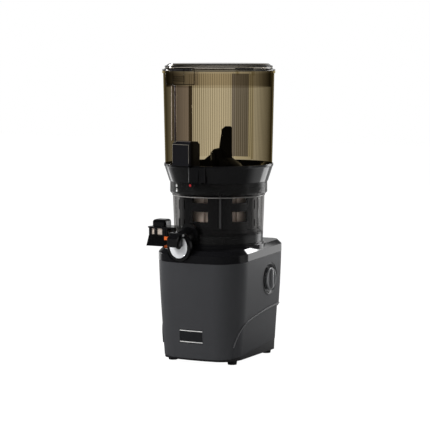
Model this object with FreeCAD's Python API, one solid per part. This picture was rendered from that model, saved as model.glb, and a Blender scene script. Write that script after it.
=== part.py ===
import FreeCAD, Part
import math
import os

Vector = FreeCAD.Vector
UP = Vector(0, 0, 1)
OUT_X = Vector(1, 0, 0)
ORIGIN = Vector(0, 0, 0)

# Driving sizes in millimetres and degrees. The drive axis is X = Y = 0, the floor is Z = 0
# and the front faces -Y. Angles round the axis start at the front and grow towards +X.

# Base
base_width = 163.0
base_depth = 199.0
base_centre_y = -2.5
front_radius = 300.0
corner_front = 49.0
corner_rear = 24.5
deck_rake = 2.2
bottom_rake = 5.5
bottom_seam_z = 18.5
top_seam_z = 174.8
deck_height = 20.0
deck_chamfer = 7.0
deck_margin = 6.5
pedestal_rise = 5.2
shell_wall = 3.0
foot_height = 7.0
foot_radius = 8.6
foot_margin = 25.5
foot_setback = 42.0
screw_inset = 20.0
grip_depth = 2.6
grip_top_z = 87.5
badge_width = 43.0
badge_height = 23.0
badge_rise = 17.5
gland_x = 40.0
gland_z = 42.0
gland_radius = 6.0
cord_bore = 3.6

# Head: drum, spout and hopper
head_angle = -13.0
drum_height = 79.0
drum_flare = 2.8
lock_ring_step = 4.6
lock_ring_height = 18.0
drum_wall = 3.0
brush_gap = 4.0
floor_thick = 3.5
collar_flare = 10.2
collar_height = 29.7
hopper_step = 1.8
hopper_flare = 3.2
hopper_height = 155.5
hopper_wall = 2.6
rim_width = 1.7
rim_height = 3.5
lid_height = 12.0
lid_skirt = 27.0
spout_radius = 15.5
spout_wall = 3.0
cap_stand = 2.7
cap_thick = 7.5
spout_fall = 9.5
cap_border = 10.0
cap_rim = 6.0
lever_reach = 16.0
lever_width = 21.0
lever_pin_radius = 1.6
chute_stand = 45.5
chute_width = 32.0
chute_height = 12.3
chute_wall = 2.2
mouth_margin = 15.5
mouth_drop = 17.0
finger_rise = 62.0
finger_width = 10.0
rotor_angle = 117.0
channel_width = 39.0
channel_proud = 6.5
interlock_height = 40.0
latch_width = 66.0
latch_drop = 22.0
latch_pin_radius = 1.8
hinge_pin_radius = 2.0
hinge_width = 36.0
rod_radius = 1.5
spring_radius = 1.8
spring_wire = 0.35
spring_turns = 6.0
spring_height = 13.2

# Drive train
motor_radius = 46.0
motor_length = 72.0
gear_module = 0.8
pinion_teeth = 15
wheel_teeth = 75
sun_module = 1.5
sun_teeth = 24
idler_teeth = 25
gear_width = 6.0
pressure_angle = 25.0
shaft_radius = 8.0
drive_hex = 12.0
feed_hex = 14.0
motor_shaft = 5.0
auger_pitch = 76.0

# Control knob
knob_y = 35.0
knob_z = 135.0
knob_radius = 18.9
bezel_border = 8.3

# Clearances
run_gap = 0.06
move_gap = 0.3
seat_gap = 0.1
backlash = 0.14

# Derived radii and places round the drive axis
drum_radius_low = base_width / 2.0 - deck_margin
drum_radius_high = drum_radius_low + drum_flare
lock_ring_radius = drum_radius_high + lock_ring_step
collar_radius = lock_ring_radius + collar_flare
hopper_radius_low = collar_radius - hopper_step
hopper_radius_high = hopper_radius_low + hopper_flare
rim_radius = hopper_radius_high + rim_width
bezel_radius = knob_radius + bezel_border
side_x = base_width / 2.0 - 1.9
cap_radius = spout_radius + cap_border
cap_face = base_depth / 2.0 - base_centre_y + cap_stand
chute_reach = base_width / 2.0 + chute_stand
mouth_x = -base_width / 2.0 - mouth_margin
gate_x = mouth_x + 7.0
idler_angle = 90.0

# Derived sizes of the drive train
gear_offset = gear_module * (pinion_teeth + wheel_teeth) / 2.0
lay_radius = gear_module * (pinion_teeth / 2.0 - 1.25) - 1.0
pinion_bore = lay_radius - 1.0
gear_room = gear_module * (wheel_teeth / 2.0 + 1.0) + 2.2
gear_case = gear_room + 3.0
seal_radius = shaft_radius + 3.9
bushing_radius = shaft_radius + 5.0
sleeve_radius = shaft_radius + 3.5
ring_teeth = sun_teeth + 2 * idler_teeth
idler_orbit = sun_module * (sun_teeth + idler_teeth) / 2.0
ring_pitch_radius = sun_module * ring_teeth / 2.0
brush_radius = drum_radius_low - drum_wall - brush_gap
mesh_radius = brush_radius - 12.1
throat_radius = mesh_radius + 0.6
neck_radius = sun_module * sun_teeth / 2.0 + 1.4
well_inner = neck_radius + 4.6
well_outer = well_inner + 12.5

# Derived heights
pedestal_z = top_seam_z + deck_height + pedestal_rise
drum_z = pedestal_z
drum_floor_z = drum_z + 14.0
ring_foot_z = drum_z + drum_height + 5.0
drum_top_z = ring_foot_z + lock_ring_height
collar_z = drum_top_z + move_gap
collar_top_z = collar_z + collar_height
hopper_top_z = collar_top_z + hopper_height
rim_z = hopper_top_z - rim_height
lid_z = hopper_top_z + 0.5
lid_top_z = lid_z + lid_height
motor_z = foot_height + 19.0
motor_top_z = motor_z + motor_length
gear_floor_z = motor_top_z
gear_top_z = gear_floor_z + 44.0
gear_z = drum_floor_z + 2.5
basket_z = gear_z + gear_width + 1.0
basket_top_z = drum_top_z - 6.0
brush_top_z = basket_top_z - 3.0
hinge_y = hopper_radius_high + 6.0
hinge_z = hopper_top_z + 1.5
latch_pin_v = hopper_radius_high + 5.5
latch_pin_z = hopper_top_z + 3.5
spout_z = drum_z + 0.7 + spout_radius
cap_z = spout_z - spout_fall - 9.0
lever_pin_v = cap_face + 3.5
lever_pin_z = cap_z + cap_radius - 5.5
chute_floor_z = drum_z + 3.0
gate_z = chute_floor_z + chute_height - 1.3
rotor_seat_z = collar_z + 9.0
rotor_finger_z = collar_top_z + finger_rise


def rear_y():
    return base_centre_y + base_depth / 2.0


def front_y():
    return base_centre_y - base_depth / 2.0


def cylinder(radius, z0, z1, x=0.0, y=0.0):
    return Part.makeCylinder(radius, z1 - z0, Vector(x, y, z0), UP)


def rod(radius, start, end):
    along = end.sub(start)
    return Part.makeCylinder(radius, along.Length, start, along)


def tube(outer, inner, z0, z1, x=0.0, y=0.0):
    return cylinder(outer, z0, z1, x, y).cut(cylinder(inner, z0 - 1, z1 + 1, x, y))


def block(x0, x1, y0, y1, z0, z1):
    return Part.makeBox(x1 - x0, y1 - y0, z1 - z0, Vector(x0, y0, z0))


def revolved(points):
    """Solid of revolution about the drive axis from (radius, height) points."""
    corners = [Vector(r, 0, z) for r, z in points]
    face = Part.Face(Part.makePolygon(corners + corners[:1]))
    return face.revolve(ORIGIN, UP, 360)


def turned(shape, angle):
    return shape.rotated(ORIGIN, UP, angle)


def headed(shape):
    """Turns a piece built towards -Y to the direction of the spout and latch."""
    return turned(shape, head_angle)


def joined(shapes):
    return shapes[0].fuse(list(shapes[1:])).removeSplitter()


def slab(points, x0, x1):
    """Prism with a (y, z) outline that runs along X."""
    corners = [Vector(x0, y, z) for y, z in points]
    face = Part.Face(Part.makePolygon(corners + corners[:1]))
    return face.extrude(Vector(x1 - x0, 0, 0))


def sector(outer, inner, z0, z1, angle, half_angle):
    """Part of a tube that is centred on an angle from the front."""
    span = 2.0 * half_angle
    height = z1 - z0
    ring = Part.makeCylinder(outer, height, Vector(0, 0, z0), UP, span)
    ring = ring.cut(Part.makeCylinder(inner, height + 2, Vector(0, 0, z0 - 1), UP, 360))
    return turned(ring, angle - 90.0 - half_angle)


def place(angle, radius, z=0.0):
    turn = math.radians(angle)
    return Vector(radius * math.sin(turn), -radius * math.cos(turn), z)


def hexagon(across, z0, z1):
    radius = across / math.sqrt(3.0)
    corners = [Vector(radius * math.cos(k * math.pi / 3), radius * math.sin(k * math.pi / 3), z0)
               for k in range(6)]
    return Part.Face(Part.makePolygon(corners + corners[:1])).extrude(Vector(0, 0, z1 - z0))


def tooth_outline(teeth, module, tip, root, thicken, tooth_at):
    """Closed involute outline with one tooth centred on an angle in degrees from +X."""
    pitch = module * teeth / 2.0
    base = pitch * math.cos(math.radians(pressure_angle))
    involute = math.tan(math.radians(pressure_angle)) - math.radians(pressure_angle)
    half_at_pitch = math.pi / (2.0 * teeth) + thicken / (2.0 * pitch)
    steps = 4
    flank = []
    start = max(base, root)
    for k in range(steps):
        radius = start + (tip - start) * k / (steps - 1)
        angle = math.acos(min(1.0, base / radius))
        flank.append((radius, half_at_pitch + involute - (math.tan(angle) - angle)))
    if root < start:
        flank.insert(0, (root, flank[0][1]))
    points = []
    for tooth in range(teeth):
        centre = math.radians(tooth_at) + 2.0 * math.pi * tooth / teeth
        both = [(r, centre - half) for r, half in flank]
        both += [(r, centre + half) for r, half in reversed(flank)]
        points += [Vector(r * math.cos(a), r * math.sin(a), 0) for r, a in both]
    return Part.Face(Part.makePolygon(points + points[:1]))


def gear(teeth, module, z0, z1, tooth_at):
    pitch = module * teeth / 2.0
    face = tooth_outline(teeth, module, pitch + module, pitch - 1.25 * module, -backlash, tooth_at)
    return face.extrude(Vector(0, 0, z1 - z0)).translated(Vector(0, 0, z0))


def outline(inset, z):
    """Plan of the base at one height: bowed front, flat sides and round corners."""
    half = base_width / 2.0 - inset
    back = rear_y() - inset
    bow = front_radius - inset
    centre = front_y() + front_radius
    near = corner_front - inset
    far = corner_rear - inset
    knee = centre - math.sqrt((bow - near) ** 2 - (half - near) ** 2)
    lean = math.atan2(knee - centre, half - near)
    meet = (bow * math.cos(lean), centre + bow * math.sin(lean))
    middle = lean / 2.0
    near_mid = (half - near + near * math.cos(middle), knee + near * math.sin(middle))
    far_mid = (half - far + far * math.sqrt(0.5), back - far + far * math.sqrt(0.5))

    def at(point, side=1):
        return Vector(side * point[0], point[1], z)

    edges = [
        Part.Arc(at(meet), at(near_mid), at((half, knee))),
        Part.LineSegment(at((half, knee)), at((half, back - far))),
        Part.Arc(at((half, back - far)), at(far_mid), at((half - far, back))),
        Part.LineSegment(at((half - far, back)), at((half - far, back), -1)),
        Part.Arc(at((half - far, back), -1), at(far_mid, -1), at((half, back - far), -1)),
        Part.LineSegment(at((half, back - far), -1), at((half, knee), -1)),
        Part.Arc(at((half, knee), -1), at(near_mid, -1), at(meet, -1)),
        Part.Arc(at(meet, -1), Vector(0, front_y() + inset, z), at(meet)),
    ]
    return Part.Wire([edge.toShape() for edge in edges])


def envelope(inset):
    """Outer form of the base: nearly upright above, drawn in towards the floor."""
    levels = ((0.0, 9.0), (0.33, 6.2), (0.6, 3.2), (0.86, 1.0), (1.2, 0.0))
    wires = [outline(taper + inset, level * top_seam_z) for level, taper in levels]
    return Part.makeLoft(wires, True, False)


def raked(z0, z1, rake):
    """Slice of space between two planes that rise towards the back by the same angle."""
    reach = 500.0
    level = math.cos(math.radians(rake))
    slice_box = block(-reach, reach, -reach, reach, z0 * level, z1 * level)
    return slice_box.rotated(Vector(0, base_centre_y, 0), OUT_X, rake)


def between_seams():
    """Space of the shell, above the bottom seam and below the deck."""
    return raked(bottom_seam_z, 2.0 * top_seam_z, bottom_rake).common(raked(-top_seam_z, top_seam_z, deck_rake))


def grip_cutters(grow):
    """Space under the swept line of each side where a hand lifts the base."""
    top = grip_top_z
    line = [(19.0, 0.0), (26.0, 0.52), (42.0, 0.71), (70.5, 0.82), (114.0, 0.91), (175.0, 0.98), (235.0, 1.0)]
    inner = base_width / 2.0 - 26.5
    points = [Vector(inner, front_y() + y - grow, top * part + grow) for y, part in line]
    sweep = Part.BSplineCurve()
    sweep.interpolate(points)
    low = -60.0
    frame = [points[-1], Vector(inner, points[-1].y, low), Vector(inner, points[0].y, low), points[0]]
    wire = Part.Wire([sweep.toShape()] + Part.makePolygon(frame).Edges)
    lean = Vector(40, -26, 26)
    shift = Vector(0, 13, -13)
    right = Part.Face(wire).extrude(lean).translated(shift)
    left = right.mirror(ORIGIN, OUT_X)
    return [right, left]


def base_form(inset, grow):
    """Base envelope with the grip recess on both sides."""
    deep = envelope(inset + grip_depth)
    cutters = [cutter.cut(deep) for cutter in grip_cutters(grow)]
    return envelope(inset).cut(cutters)


def screw_places():
    x = base_width / 2.0 - foot_margin - 4.0
    ends = (front_y() + foot_setback + screw_inset, rear_y() - foot_margin - screw_inset)
    return [(side * x, y) for side in (-1, 1) for y in ends]


def foot_places():
    x = base_width / 2.0 - foot_margin
    ends = (front_y() + foot_setback, rear_y() - foot_margin)
    return [(side * x, y) for side in (-1, 1) for y in ends]


def knob_axis(start, end, radius):
    return rod(radius, Vector(start, knob_y, knob_z), Vector(end, knob_y, knob_z))


def badge_block(depth, spare):
    y = front_y() + 8.0
    half = badge_width / 2.0 + spare
    low = bottom_seam_z + badge_rise
    return block(-3.5 - half, -3.5 + half, y - 30, y + depth, low - spare, low + badge_height + spare)


def gland_rod(radius, start, end):
    """Rod on the cord inlet's axis, with its ends measured from the back of the base."""
    back = rear_y()
    return rod(radius, Vector(gland_x, back + start, gland_z), Vector(gland_x, back + end, gland_z))


def body_shell():
    shell = base_form(0.0, 0.0).cut(base_form(shell_wall, shell_wall))
    shell = shell.common(between_seams())
    posts = []
    for x, y in screw_places():
        side = math.copysign(1.0, x)
        web = block(min(x, x + side * 40), max(x, x + side * 40), y - 1.5, y + 1.5, 0, 52)
        posts.append(joined([cylinder(5.0, 0, 52, x, y), web]))
    inside = base_form(1.0, 1.0).common(between_seams())
    shell = joined([shell] + [post.common(inside) for post in posts])
    bores = [cylinder(1.9, 0, 45, x, y) for x, y in screw_places()]
    gland = gland_rod(gland_radius + 0.2, -40, 10)
    opening = knob_axis(50, 100, bezel_radius + seat_gap)
    return shell.cut(bores + [gland, opening]).cut(badge_pocket())


def badge_skin(inset, thick):
    return envelope(inset).cut(envelope(inset + thick))


def badge_pocket():
    return badge_skin(-1.0, 2.0).common(badge_block(10, 0.0))


def badge_plate():
    return badge_skin(0.0, 0.95).common(badge_block(10, -0.2))


def cap_bay(grow):
    """Round space in the front of the deck where the juice cap hangs."""
    back = cap_face - cap_thick - grow
    return headed(rod(cap_radius + grow, Vector(0, -back, cap_z), Vector(0, -cap_face - base_depth, cap_z)))


def deck():
    face = Part.Face(outline(0.0, top_seam_z - 30))
    solid = face.extrude(Vector(0, 0, 90)).common(raked(top_seam_z, top_seam_z + deck_height, deck_rake))
    top = max(solid.Faces, key=lambda f: f.CenterOfMass.z)
    solid = solid.makeChamfer(deck_chamfer, top.Edges)
    bay = solid.common(cap_bay(move_gap + shell_wall))
    hollow = Part.Face(outline(shell_wall, top_seam_z - 30)).extrude(Vector(0, 0, 90))
    hollow = hollow.common(raked(top_seam_z - 20, top_seam_z + deck_height - deck_chamfer - 1, deck_rake))
    solid = solid.cut(hollow)
    pedestal = tube(drum_radius_low + 5.0, drum_radius_low - 9.0, top_seam_z + 10, pedestal_z)
    step = tube(drum_radius_low + 5.0, drum_radius_low + 2.2, pedestal_z - 2.5, pedestal_z + 1)
    boss = cylinder(seal_radius + 3.1, top_seam_z - 4, pedestal_z + 5.0)
    solid = joined([solid, bay, pedestal.cut(step), boss])
    bore = cylinder(shaft_radius + 0.6, top_seam_z - 10, pedestal_z + 10)
    pocket = cylinder(seal_radius + seat_gap, pedestal_z - 4, pedestal_z + 10)
    seat = cylinder(bushing_radius + seat_gap, top_seam_z - 10, top_seam_z + 1)
    spout_way = rod(spout_radius + 3.5 + move_gap, spout_point(drum_radius_low - 9), spout_point(cap_face + 40))
    return solid.cut([bore, pocket, seat, headed(spout_way), cap_bay(move_gap)])


def shaft_seal():
    return tube(seal_radius, shaft_radius + run_gap, pedestal_z - 4, pedestal_z + 4.5)


def board_y():
    return -motor_radius - 12.0


def bottom_cover():
    low = foot_height
    form = base_form(0.6, 0.6).common(raked(-60, bottom_seam_z, bottom_rake))
    form = form.common(block(-200, 200, -200, 300, low, 60))
    hollow = base_form(0.6 + shell_wall, 0.6 + shell_wall)
    hollow = hollow.common(block(-200, 200, -200, 300, low + shell_wall, 60))
    tray = form.cut(hollow)
    ring = tube(motor_radius - 1, motor_radius - 6, low + 1, motor_z)
    back = board_y()
    ribs = [block(-39.0, -36.2, back - 5, back + 5, low + 1, low + 18),
            block(36.2, 39.0, back - 5, back + 5, low + 1, low + 18)]
    posts = [cylinder(5.0, low + 1, bottom_seam_z + 20, x, y).common(raked(-40, bottom_seam_z, bottom_rake))
             for x, y in screw_places()]
    tray = joined([tray, ring] + ribs + posts)
    holes = [cylinder(2.1, 0, 60, x, y) for x, y in screw_places()]
    heads = [cylinder(4.0, 0, low + 3.5, x, y) for x, y in screw_places()]
    spigots = [cylinder(3.5 + seat_gap, 0, low + 5, x, y) for x, y in foot_places()]
    vents = [block(-24, 24, 3 * k - 0.8, 3 * k + 0.8, low - 2, low + 5) for k in range(-8, 9, 2)]
    return tray.cut(holes + heads + spigots + vents)


def base_screws():
    screws = []
    for x, y in screw_places():
        head = cylinder(3.7, foot_height + 0.5, foot_height + 3.5, x, y)
        slot = block(x - 2.4, x + 2.4, y - 0.5, y + 0.5, foot_height, foot_height + 1.8)
        screws.append(joined([head, cylinder(1.8, foot_height + 3, 40, x, y)]).cut(slot))
    return screws


def rubber_feet():
    feet = []
    for x, y in foot_places():
        pad = Part.makeCone(foot_radius - 1.2, foot_radius, foot_height, Vector(x, y, 0), UP)
        stem = cylinder(3.5, foot_height - 1, foot_height + 4.5, x, y)
        feet.append(joined([pad, stem]))
    return feet


def cord_gland():
    body = gland_rod(gland_radius, -15.0, 1.5)
    collar = gland_rod(gland_radius + 3.0, -9.0, 1.5).cut(envelope(0.0))
    return joined([body, collar]).cut(gland_rod(cord_bore, -22.0, 10.0))


def on_knob_axis(points):
    """Solid of revolution about the knob axis from (radius, reach along X) points."""
    corners = [Vector(reach, knob_y + radius, knob_z) for radius, reach in points]
    face = Part.Face(Part.makePolygon(corners + corners[:1]))
    return face.revolve(Vector(0, knob_y, knob_z), OUT_X, 360)


def knob_bezel():
    s = side_x
    return on_knob_axis([(6.0, s - 10), (bezel_radius, s - 10), (bezel_radius, s + 0.2),
                         (bezel_radius - 1.4, s + 0.6), (bezel_radius - 2.4, s),
                         (knob_radius + 2.6, s - 4.2), (knob_radius + 1.0, s - 5.0), (6.0, s - 5.0)])


def control_knob():
    s = side_x
    body = on_knob_axis([(0.0, s - 4.6), (knob_radius, s - 4.6), (knob_radius, s + 2.6),
                         (knob_radius - 1.4, s + 4.2), (knob_radius - 3.0, s + 4.2),
                         (knob_radius - 5.0, s + 2.4), (0.0, s + 2.4)])
    reach = knob_radius - 2.4
    grip = block(s + 1.0, s + 7.0, knob_y - 3.2, knob_y + 3.2, knob_z - reach, knob_z + reach)
    edges = [e for e in grip.Edges if e.BoundBox.XMin > s + 6.0]
    grip = grip.makeChamfer(1.5, edges)
    stem = knob_axis(s - 10.8, s - 4, 6.0 - run_gap)
    return joined([body, grip, stem]).cut(knob_axis(s - 12, s - 2, 3.0))


def rotary_switch():
    s = side_x - 11.0
    case = block(s - 20, s, knob_y - 14, knob_y + 14, knob_z - 14, knob_z + 14)
    out = bezel_radius - 3.2
    bracket = block(s - 2, s, knob_y - out, knob_y + out, knob_z - 9, knob_z + 9)
    pads = [block(s - 2, s + 1, knob_y + end - 3, knob_y + end + 3, knob_z - 6, knob_z + 6)
            for end in (-out + 4, out - 4)]
    spindle = knob_axis(s - 5, s + 7, 3.0 - run_gap)
    tabs = [block(s - 26, s - 19, knob_y + k - 0.4, knob_y + k + 0.4, knob_z - 3, knob_z + 3)
            for k in (-9, -3, 3, 9)]
    return joined([case, bracket, spindle] + pads + tabs)


def motor_can():
    body = tube(motor_radius, motor_radius - 2, motor_z, motor_top_z)
    floor = tube(motor_radius - 1, motor_shaft + run_gap, motor_z, motor_z + 5)
    roof = tube(motor_radius - 1, motor_shaft + 7.0, motor_top_z - 3, motor_top_z)
    can = joined([body, floor, roof])
    slot = block(-5, 5, -motor_radius - 5, -motor_radius + 6, motor_top_z - 16, motor_top_z - 8)
    slots = [turned(slot, 30.0 * k) for k in range(12)]
    return can.cut(slots)


def motor_stator():
    ring = tube(motor_radius - 2 - seat_gap, rotor_radius() + 0.7, motor_z + 12, motor_top_z - 22)
    slot = cylinder(4.5, motor_z, motor_top_z, 0, -motor_radius + 11.5)
    cuts = [turned(slot, 45.0 * k + 22.5) for k in range(8)]
    return ring.cut(cuts)


def rotor_radius():
    return motor_radius - 19.2


def motor_rotor():
    outer = rotor_radius()
    core = cylinder(outer, motor_z + 12, motor_top_z - 22)
    slot = block(-1.0, 1.0, -outer - 0.7, -outer + 2.8, motor_z, motor_top_z)
    slots = [turned(slot, 15.0 * k) for k in range(24)]
    shaft = cylinder(motor_shaft, motor_z + 1, gear_floor_z + 5)
    drive = cylinder(pinion_bore, gear_floor_z, gear_floor_z + 16)
    return joined([core.cut(slots), shaft, drive])


def motor_pinion():
    toothed = gear(pinion_teeth, gear_module, gear_floor_z + 6, gear_floor_z + 16, 90.0)
    return toothed.cut(cylinder(pinion_bore, gear_floor_z, gear_floor_z + 30))


def cooling_fan():
    z0 = motor_top_z - 17.0
    outer = motor_radius - 7.0
    hub = tube(motor_shaft + 6.0, motor_shaft, z0, z0 + 9)
    vane = block(-0.9, 0.9, -outer + 1, -motor_shaft - 5, z0, z0 + 7)
    vanes = [turned(vane, 40.0 * k) for k in range(9)]
    disc = tube(outer, motor_shaft, z0 + 7, z0 + 8.5)
    return joined([hub, disc] + vanes)


def gearbox_plan(radius, z0, z1):
    ends = [cylinder(radius, z0, z1), cylinder(radius, z0, z1, 0, gear_offset)]
    return joined(ends + [block(-radius, radius, 0, gear_offset, z0, z1)])


def gearbox_housing():
    case = gearbox_plan(gear_case, gear_floor_z, gear_top_z)
    case = case.cut(gearbox_plan(gear_room, gear_floor_z + 4, gear_top_z + 1))
    pocket = cylinder(lay_radius + run_gap, gear_floor_z + 1, gear_floor_z + 6, 0, gear_offset)
    return case.cut([cylinder(motor_shaft + 3.0, gear_floor_z - 1, gear_floor_z + 9), pocket])


def gearbox_cover():
    plate = gearbox_plan(gear_case, gear_top_z, gear_top_z + 4)
    boss = cylinder(bushing_radius + 5.0, gear_top_z, gear_top_z + 14)
    bore = cylinder(bushing_radius + seat_gap, gear_top_z - 1, gear_top_z + 30)
    pocket = cylinder(lay_radius + run_gap, gear_top_z - 1, gear_top_z + 3, 0, gear_offset)
    return joined([plate, boss]).cut([bore, pocket])


def output_bushing():
    return tube(bushing_radius, shaft_radius + run_gap, gear_top_z, top_seam_z + 1 - seat_gap)


def layshaft():
    return cylinder(lay_radius, gear_floor_z + 1.3, gear_top_z + 2.7, 0, gear_offset)


def lightening():
    """Six round holes in the web of a large wheel."""
    room = gear_module * (wheel_teeth / 2.0 - 1.25) - bushing_radius
    hole = cylinder(0.35 * room, 0, 400, 0, -bushing_radius - 0.45 * room)
    return [turned(hole, 60.0 * k) for k in range(6)]


def first_wheel():
    gap_at = 270.0 + 180.0 / wheel_teeth
    wheel = gear(wheel_teeth, gear_module, gear_floor_z + 7, gear_floor_z + 15, gap_at)
    wheel = wheel.cut(lightening() + [cylinder(lay_radius, 0, 400)])
    return wheel.translated(Vector(0, gear_offset, 0))


def second_pinion():
    toothed = gear(pinion_teeth, gear_module, gear_floor_z + 15, gear_floor_z + 37, 270.0)
    return toothed.cut(cylinder(lay_radius, 0, 400)).translated(Vector(0, gear_offset, 0))


def output_wheel():
    gap_at = 90.0 + 180.0 / wheel_teeth
    wheel = gear(wheel_teeth, gear_module, gear_floor_z + 22, gear_floor_z + 36, gap_at)
    return wheel.cut(lightening() + [cylinder(shaft_radius, 0, 400)])


def drive_shaft():
    neck = drum_floor_z + 15.0
    shaft = cylinder(shaft_radius, gear_floor_z + 19, neck)
    shoulder = cylinder(shaft_radius + 3.0, gear_floor_z + 36, gear_top_z - 0.4)
    return joined([shaft, shoulder, hexagon(drive_hex, neck - 1, neck + 20)])


def control_board():
    y = board_y()
    low = foot_height + shell_wall
    plate = block(-36.0, 36.0, y - 0.8, y + 0.8, low, low + 52)
    parts = [block(-28, -8, y + 0.7, y + 10.2, low + 20, low + 34),
             block(2, 14, y + 0.7, y + 9, low + 14, low + 32),
             block(18, 32, y + 0.7, y + 7, low + 30, low + 46)]
    drums = [rod(5.5, Vector(-20, y + 0.7, low + 44), Vector(-20, y + 10, low + 44)),
             rod(4.5, Vector(-4, y + 0.7, low + 10), Vector(-4, y + 9, low + 10))]
    return joined([plate] + parts + drums)


def drum_profile(grow=0.0):
    """Outer radius and height pairs of the drum from its foot to its rim."""
    high = drum_z + drum_height
    return [(drum_radius_low + grow, drum_z), (drum_radius_high + grow, high),
            (lock_ring_radius + grow, ring_foot_z), (lock_ring_radius + grow, drum_top_z)]


def drum_space():
    """Everything inside the outer face of the drum."""
    low, high, foot, top = drum_profile()
    return revolved([(0, drum_z - 40), (low[0], drum_z - 40), low, high, foot, top, (0, top[1])])


def drum():
    outer = drum_profile()
    inner = [(r - drum_wall, z) for r, z in reversed(outer)]
    inner[1] = (inner[1][0], inner[1][1] + 1.0)
    wall = revolved(outer + inner)
    floor = cylinder(drum_radius_low - 1.5, drum_floor_z - floor_thick, drum_floor_z)
    sleeve = cylinder(sleeve_radius, drum_floor_z - 8, drum_floor_z + 12)
    spot = place(idler_angle, idler_orbit)
    post = [cylinder(7.0, drum_floor_z - 1, gear_z - move_gap, spot.x, spot.y),
            cylinder(4.0, drum_floor_z - 1, gear_z + gear_width - 0.4, spot.x, spot.y)]
    pillars = [cylinder(5.0, drum_floor_z - 1, basket_z, 0, side * idler_orbit) for side in (-1, 1)]
    way = chute_width / 2.0 - chute_wall - 1.3
    side = way + 2.5
    well_end = -well_inner + 2.5
    well = block(-well_outer - 2.5, well_end, -side, side, chute_floor_z, basket_z)
    tunnel = block(-drum_radius_low + 1.5, well_end, -side, side, drum_z + 0.6, drum_floor_z - 1)
    lugs = [sector(lock_ring_radius - 1, lock_ring_radius - 5.8, drum_top_z - 6, drum_top_z - 3,
                   head_angle + 90.0 * k, 8.0) for k in range(4)]
    solid = joined([wall, floor, sleeve, well, tunnel] + post + pillars + lugs)
    roof_z = drum_floor_z - floor_thick
    passage = block(-drum_radius_low - 10, -well_inner - 2.5, -way, way, chute_floor_z, roof_z)
    drop = block(-well_outer, -well_inner, -way, way, chute_floor_z, basket_z + 5)
    bore = cylinder(shaft_radius + 0.3, drum_z - 10, drum_floor_z + 40)
    outlet = rod(spout_radius - spout_wall, Vector(0, -drum_radius_low + 15, spout_z),
                 Vector(0, -drum_radius_low - 15, spout_z))
    outlet = headed(outlet).common(block(-200, 200, -200, 0, drum_floor_z, drum_floor_z + 60))
    return solid.cut([passage, drop, bore, outlet])


def drum_seal():
    return tube(sleeve_radius + 1.3, sleeve_radius, drum_floor_z + 7, drum_floor_z + 11)


def lock_mark():
    angle = head_angle + 5.0
    spot = Vector(0, 0, drum_top_z - 3.4)
    dot = rod(1.9, spot, place(angle, lock_ring_radius + 0.35, spot.z))
    return dot.cut(cylinder(lock_ring_radius, drum_top_z - 20, drum_top_z + 10))


def spout_point(out):
    """Point on the falling axis of the spout at a distance from the drive axis."""
    start = drum_radius_low - 12
    share = (out - start) / (cap_face - start)
    return Vector(0, -out, spout_z - spout_fall * share)


def juice_spout():
    pipe = rod(spout_radius, spout_point(drum_radius_low - 12), spout_point(cap_face - 5.5))
    saddle = rod(spout_radius + 3.5, Vector(0, -drum_radius_low + 12, spout_z),
                 Vector(0, -drum_radius_low - 4.0, spout_z))
    bore = rod(spout_radius - spout_wall, spout_point(drum_radius_low - 30), spout_point(cap_face + 5))
    saddle = saddle.common(block(-60, 60, -200, 0, spout_z - spout_radius, spout_z + 60))
    return headed(joined([pipe, saddle])).cut([headed(bore), drum_space()])


def juice_cap():
    back = cap_face - cap_thick
    ring = rod(cap_radius, Vector(0, -back, cap_z), Vector(0, -cap_face, cap_z))
    ring = ring.makeChamfer(1.2, [e for e in ring.Edges if len(e.Vertexes) == 1])
    ears = []
    for side in (-1, 1):
        near = side * (lever_width / 2.0 + move_gap)
        far = near + side * 3.4
        low, high = sorted((near, far))
        ears.append(block(low, high, -lever_pin_v - 3.0, -cap_face + 4, lever_pin_z - 5, lever_pin_z + 3))
    chamber = rod(cap_radius - 3.2, Vector(0, -back - 2, cap_z), Vector(0, -cap_face + 2, cap_z))
    face_seat = rod(cap_radius - cap_rim, Vector(0, -cap_face + 2.5, cap_z), Vector(0, -cap_face - 20, cap_z))
    face_seat = face_seat.common(block(-60, 60, -cap_face - 0.5, 0, 0, 400))
    entry = rod(spout_radius + seat_gap, spout_point(back - 9), spout_point(back + 3.5))
    pin = lever_rod(lever_pin_radius, lever_width)
    return headed(joined([ring] + ears).cut([chamber, face_seat, entry, pin]))


def lever_rod(radius, half):
    return rod(radius, Vector(-half, -lever_pin_v, lever_pin_z), Vector(half, -lever_pin_v, lever_pin_z))


def cap_disc():
    rim = cap_radius - cap_rim - seat_gap
    disc = rod(rim, Vector(0, -cap_face + 2, cap_z), Vector(0, -cap_face + 0.3, cap_z))
    hole = rod(7.4, Vector(0, -cap_face + 10, cap_z + 3), Vector(0, -cap_face - 10, cap_z + 3))
    return headed(disc.cut(hole))


def lever_pin():
    return headed(lever_rod(lever_pin_radius, lever_width / 2.0 + move_gap + 3.4))


def cap_lever():
    back = -cap_face - 0.4
    front = -cap_face - lever_reach
    points = [(back, cap_z + 1.5), (front + 0.6, cap_z + 0.2), (front, cap_z + 0.8), (front, cap_z + 14.5),
              (-lever_pin_v - 3.0, lever_pin_z + 2.4), (-lever_pin_v, lever_pin_z + 3.0),
              (-lever_pin_v + 2.4, lever_pin_z + 1.8), (back, lever_pin_z - 0.6)]
    body = slab(points, -lever_width / 2.0, lever_width / 2.0)
    return headed(body.cut(lever_rod(lever_pin_radius + run_gap, lever_width)))


def cap_plug():
    start = Vector(0, -cap_face - 0.4, cap_z + 3)
    plug = Part.makeCone(6.8, 5.0, 3.2, start, Vector(0, 1, 0))
    return headed(plug)


def chute_shape(half, x0, z0, z1):
    return block(-chute_reach + x0, -drum_radius_low + 6, -half, half, z0, z1)


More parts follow.
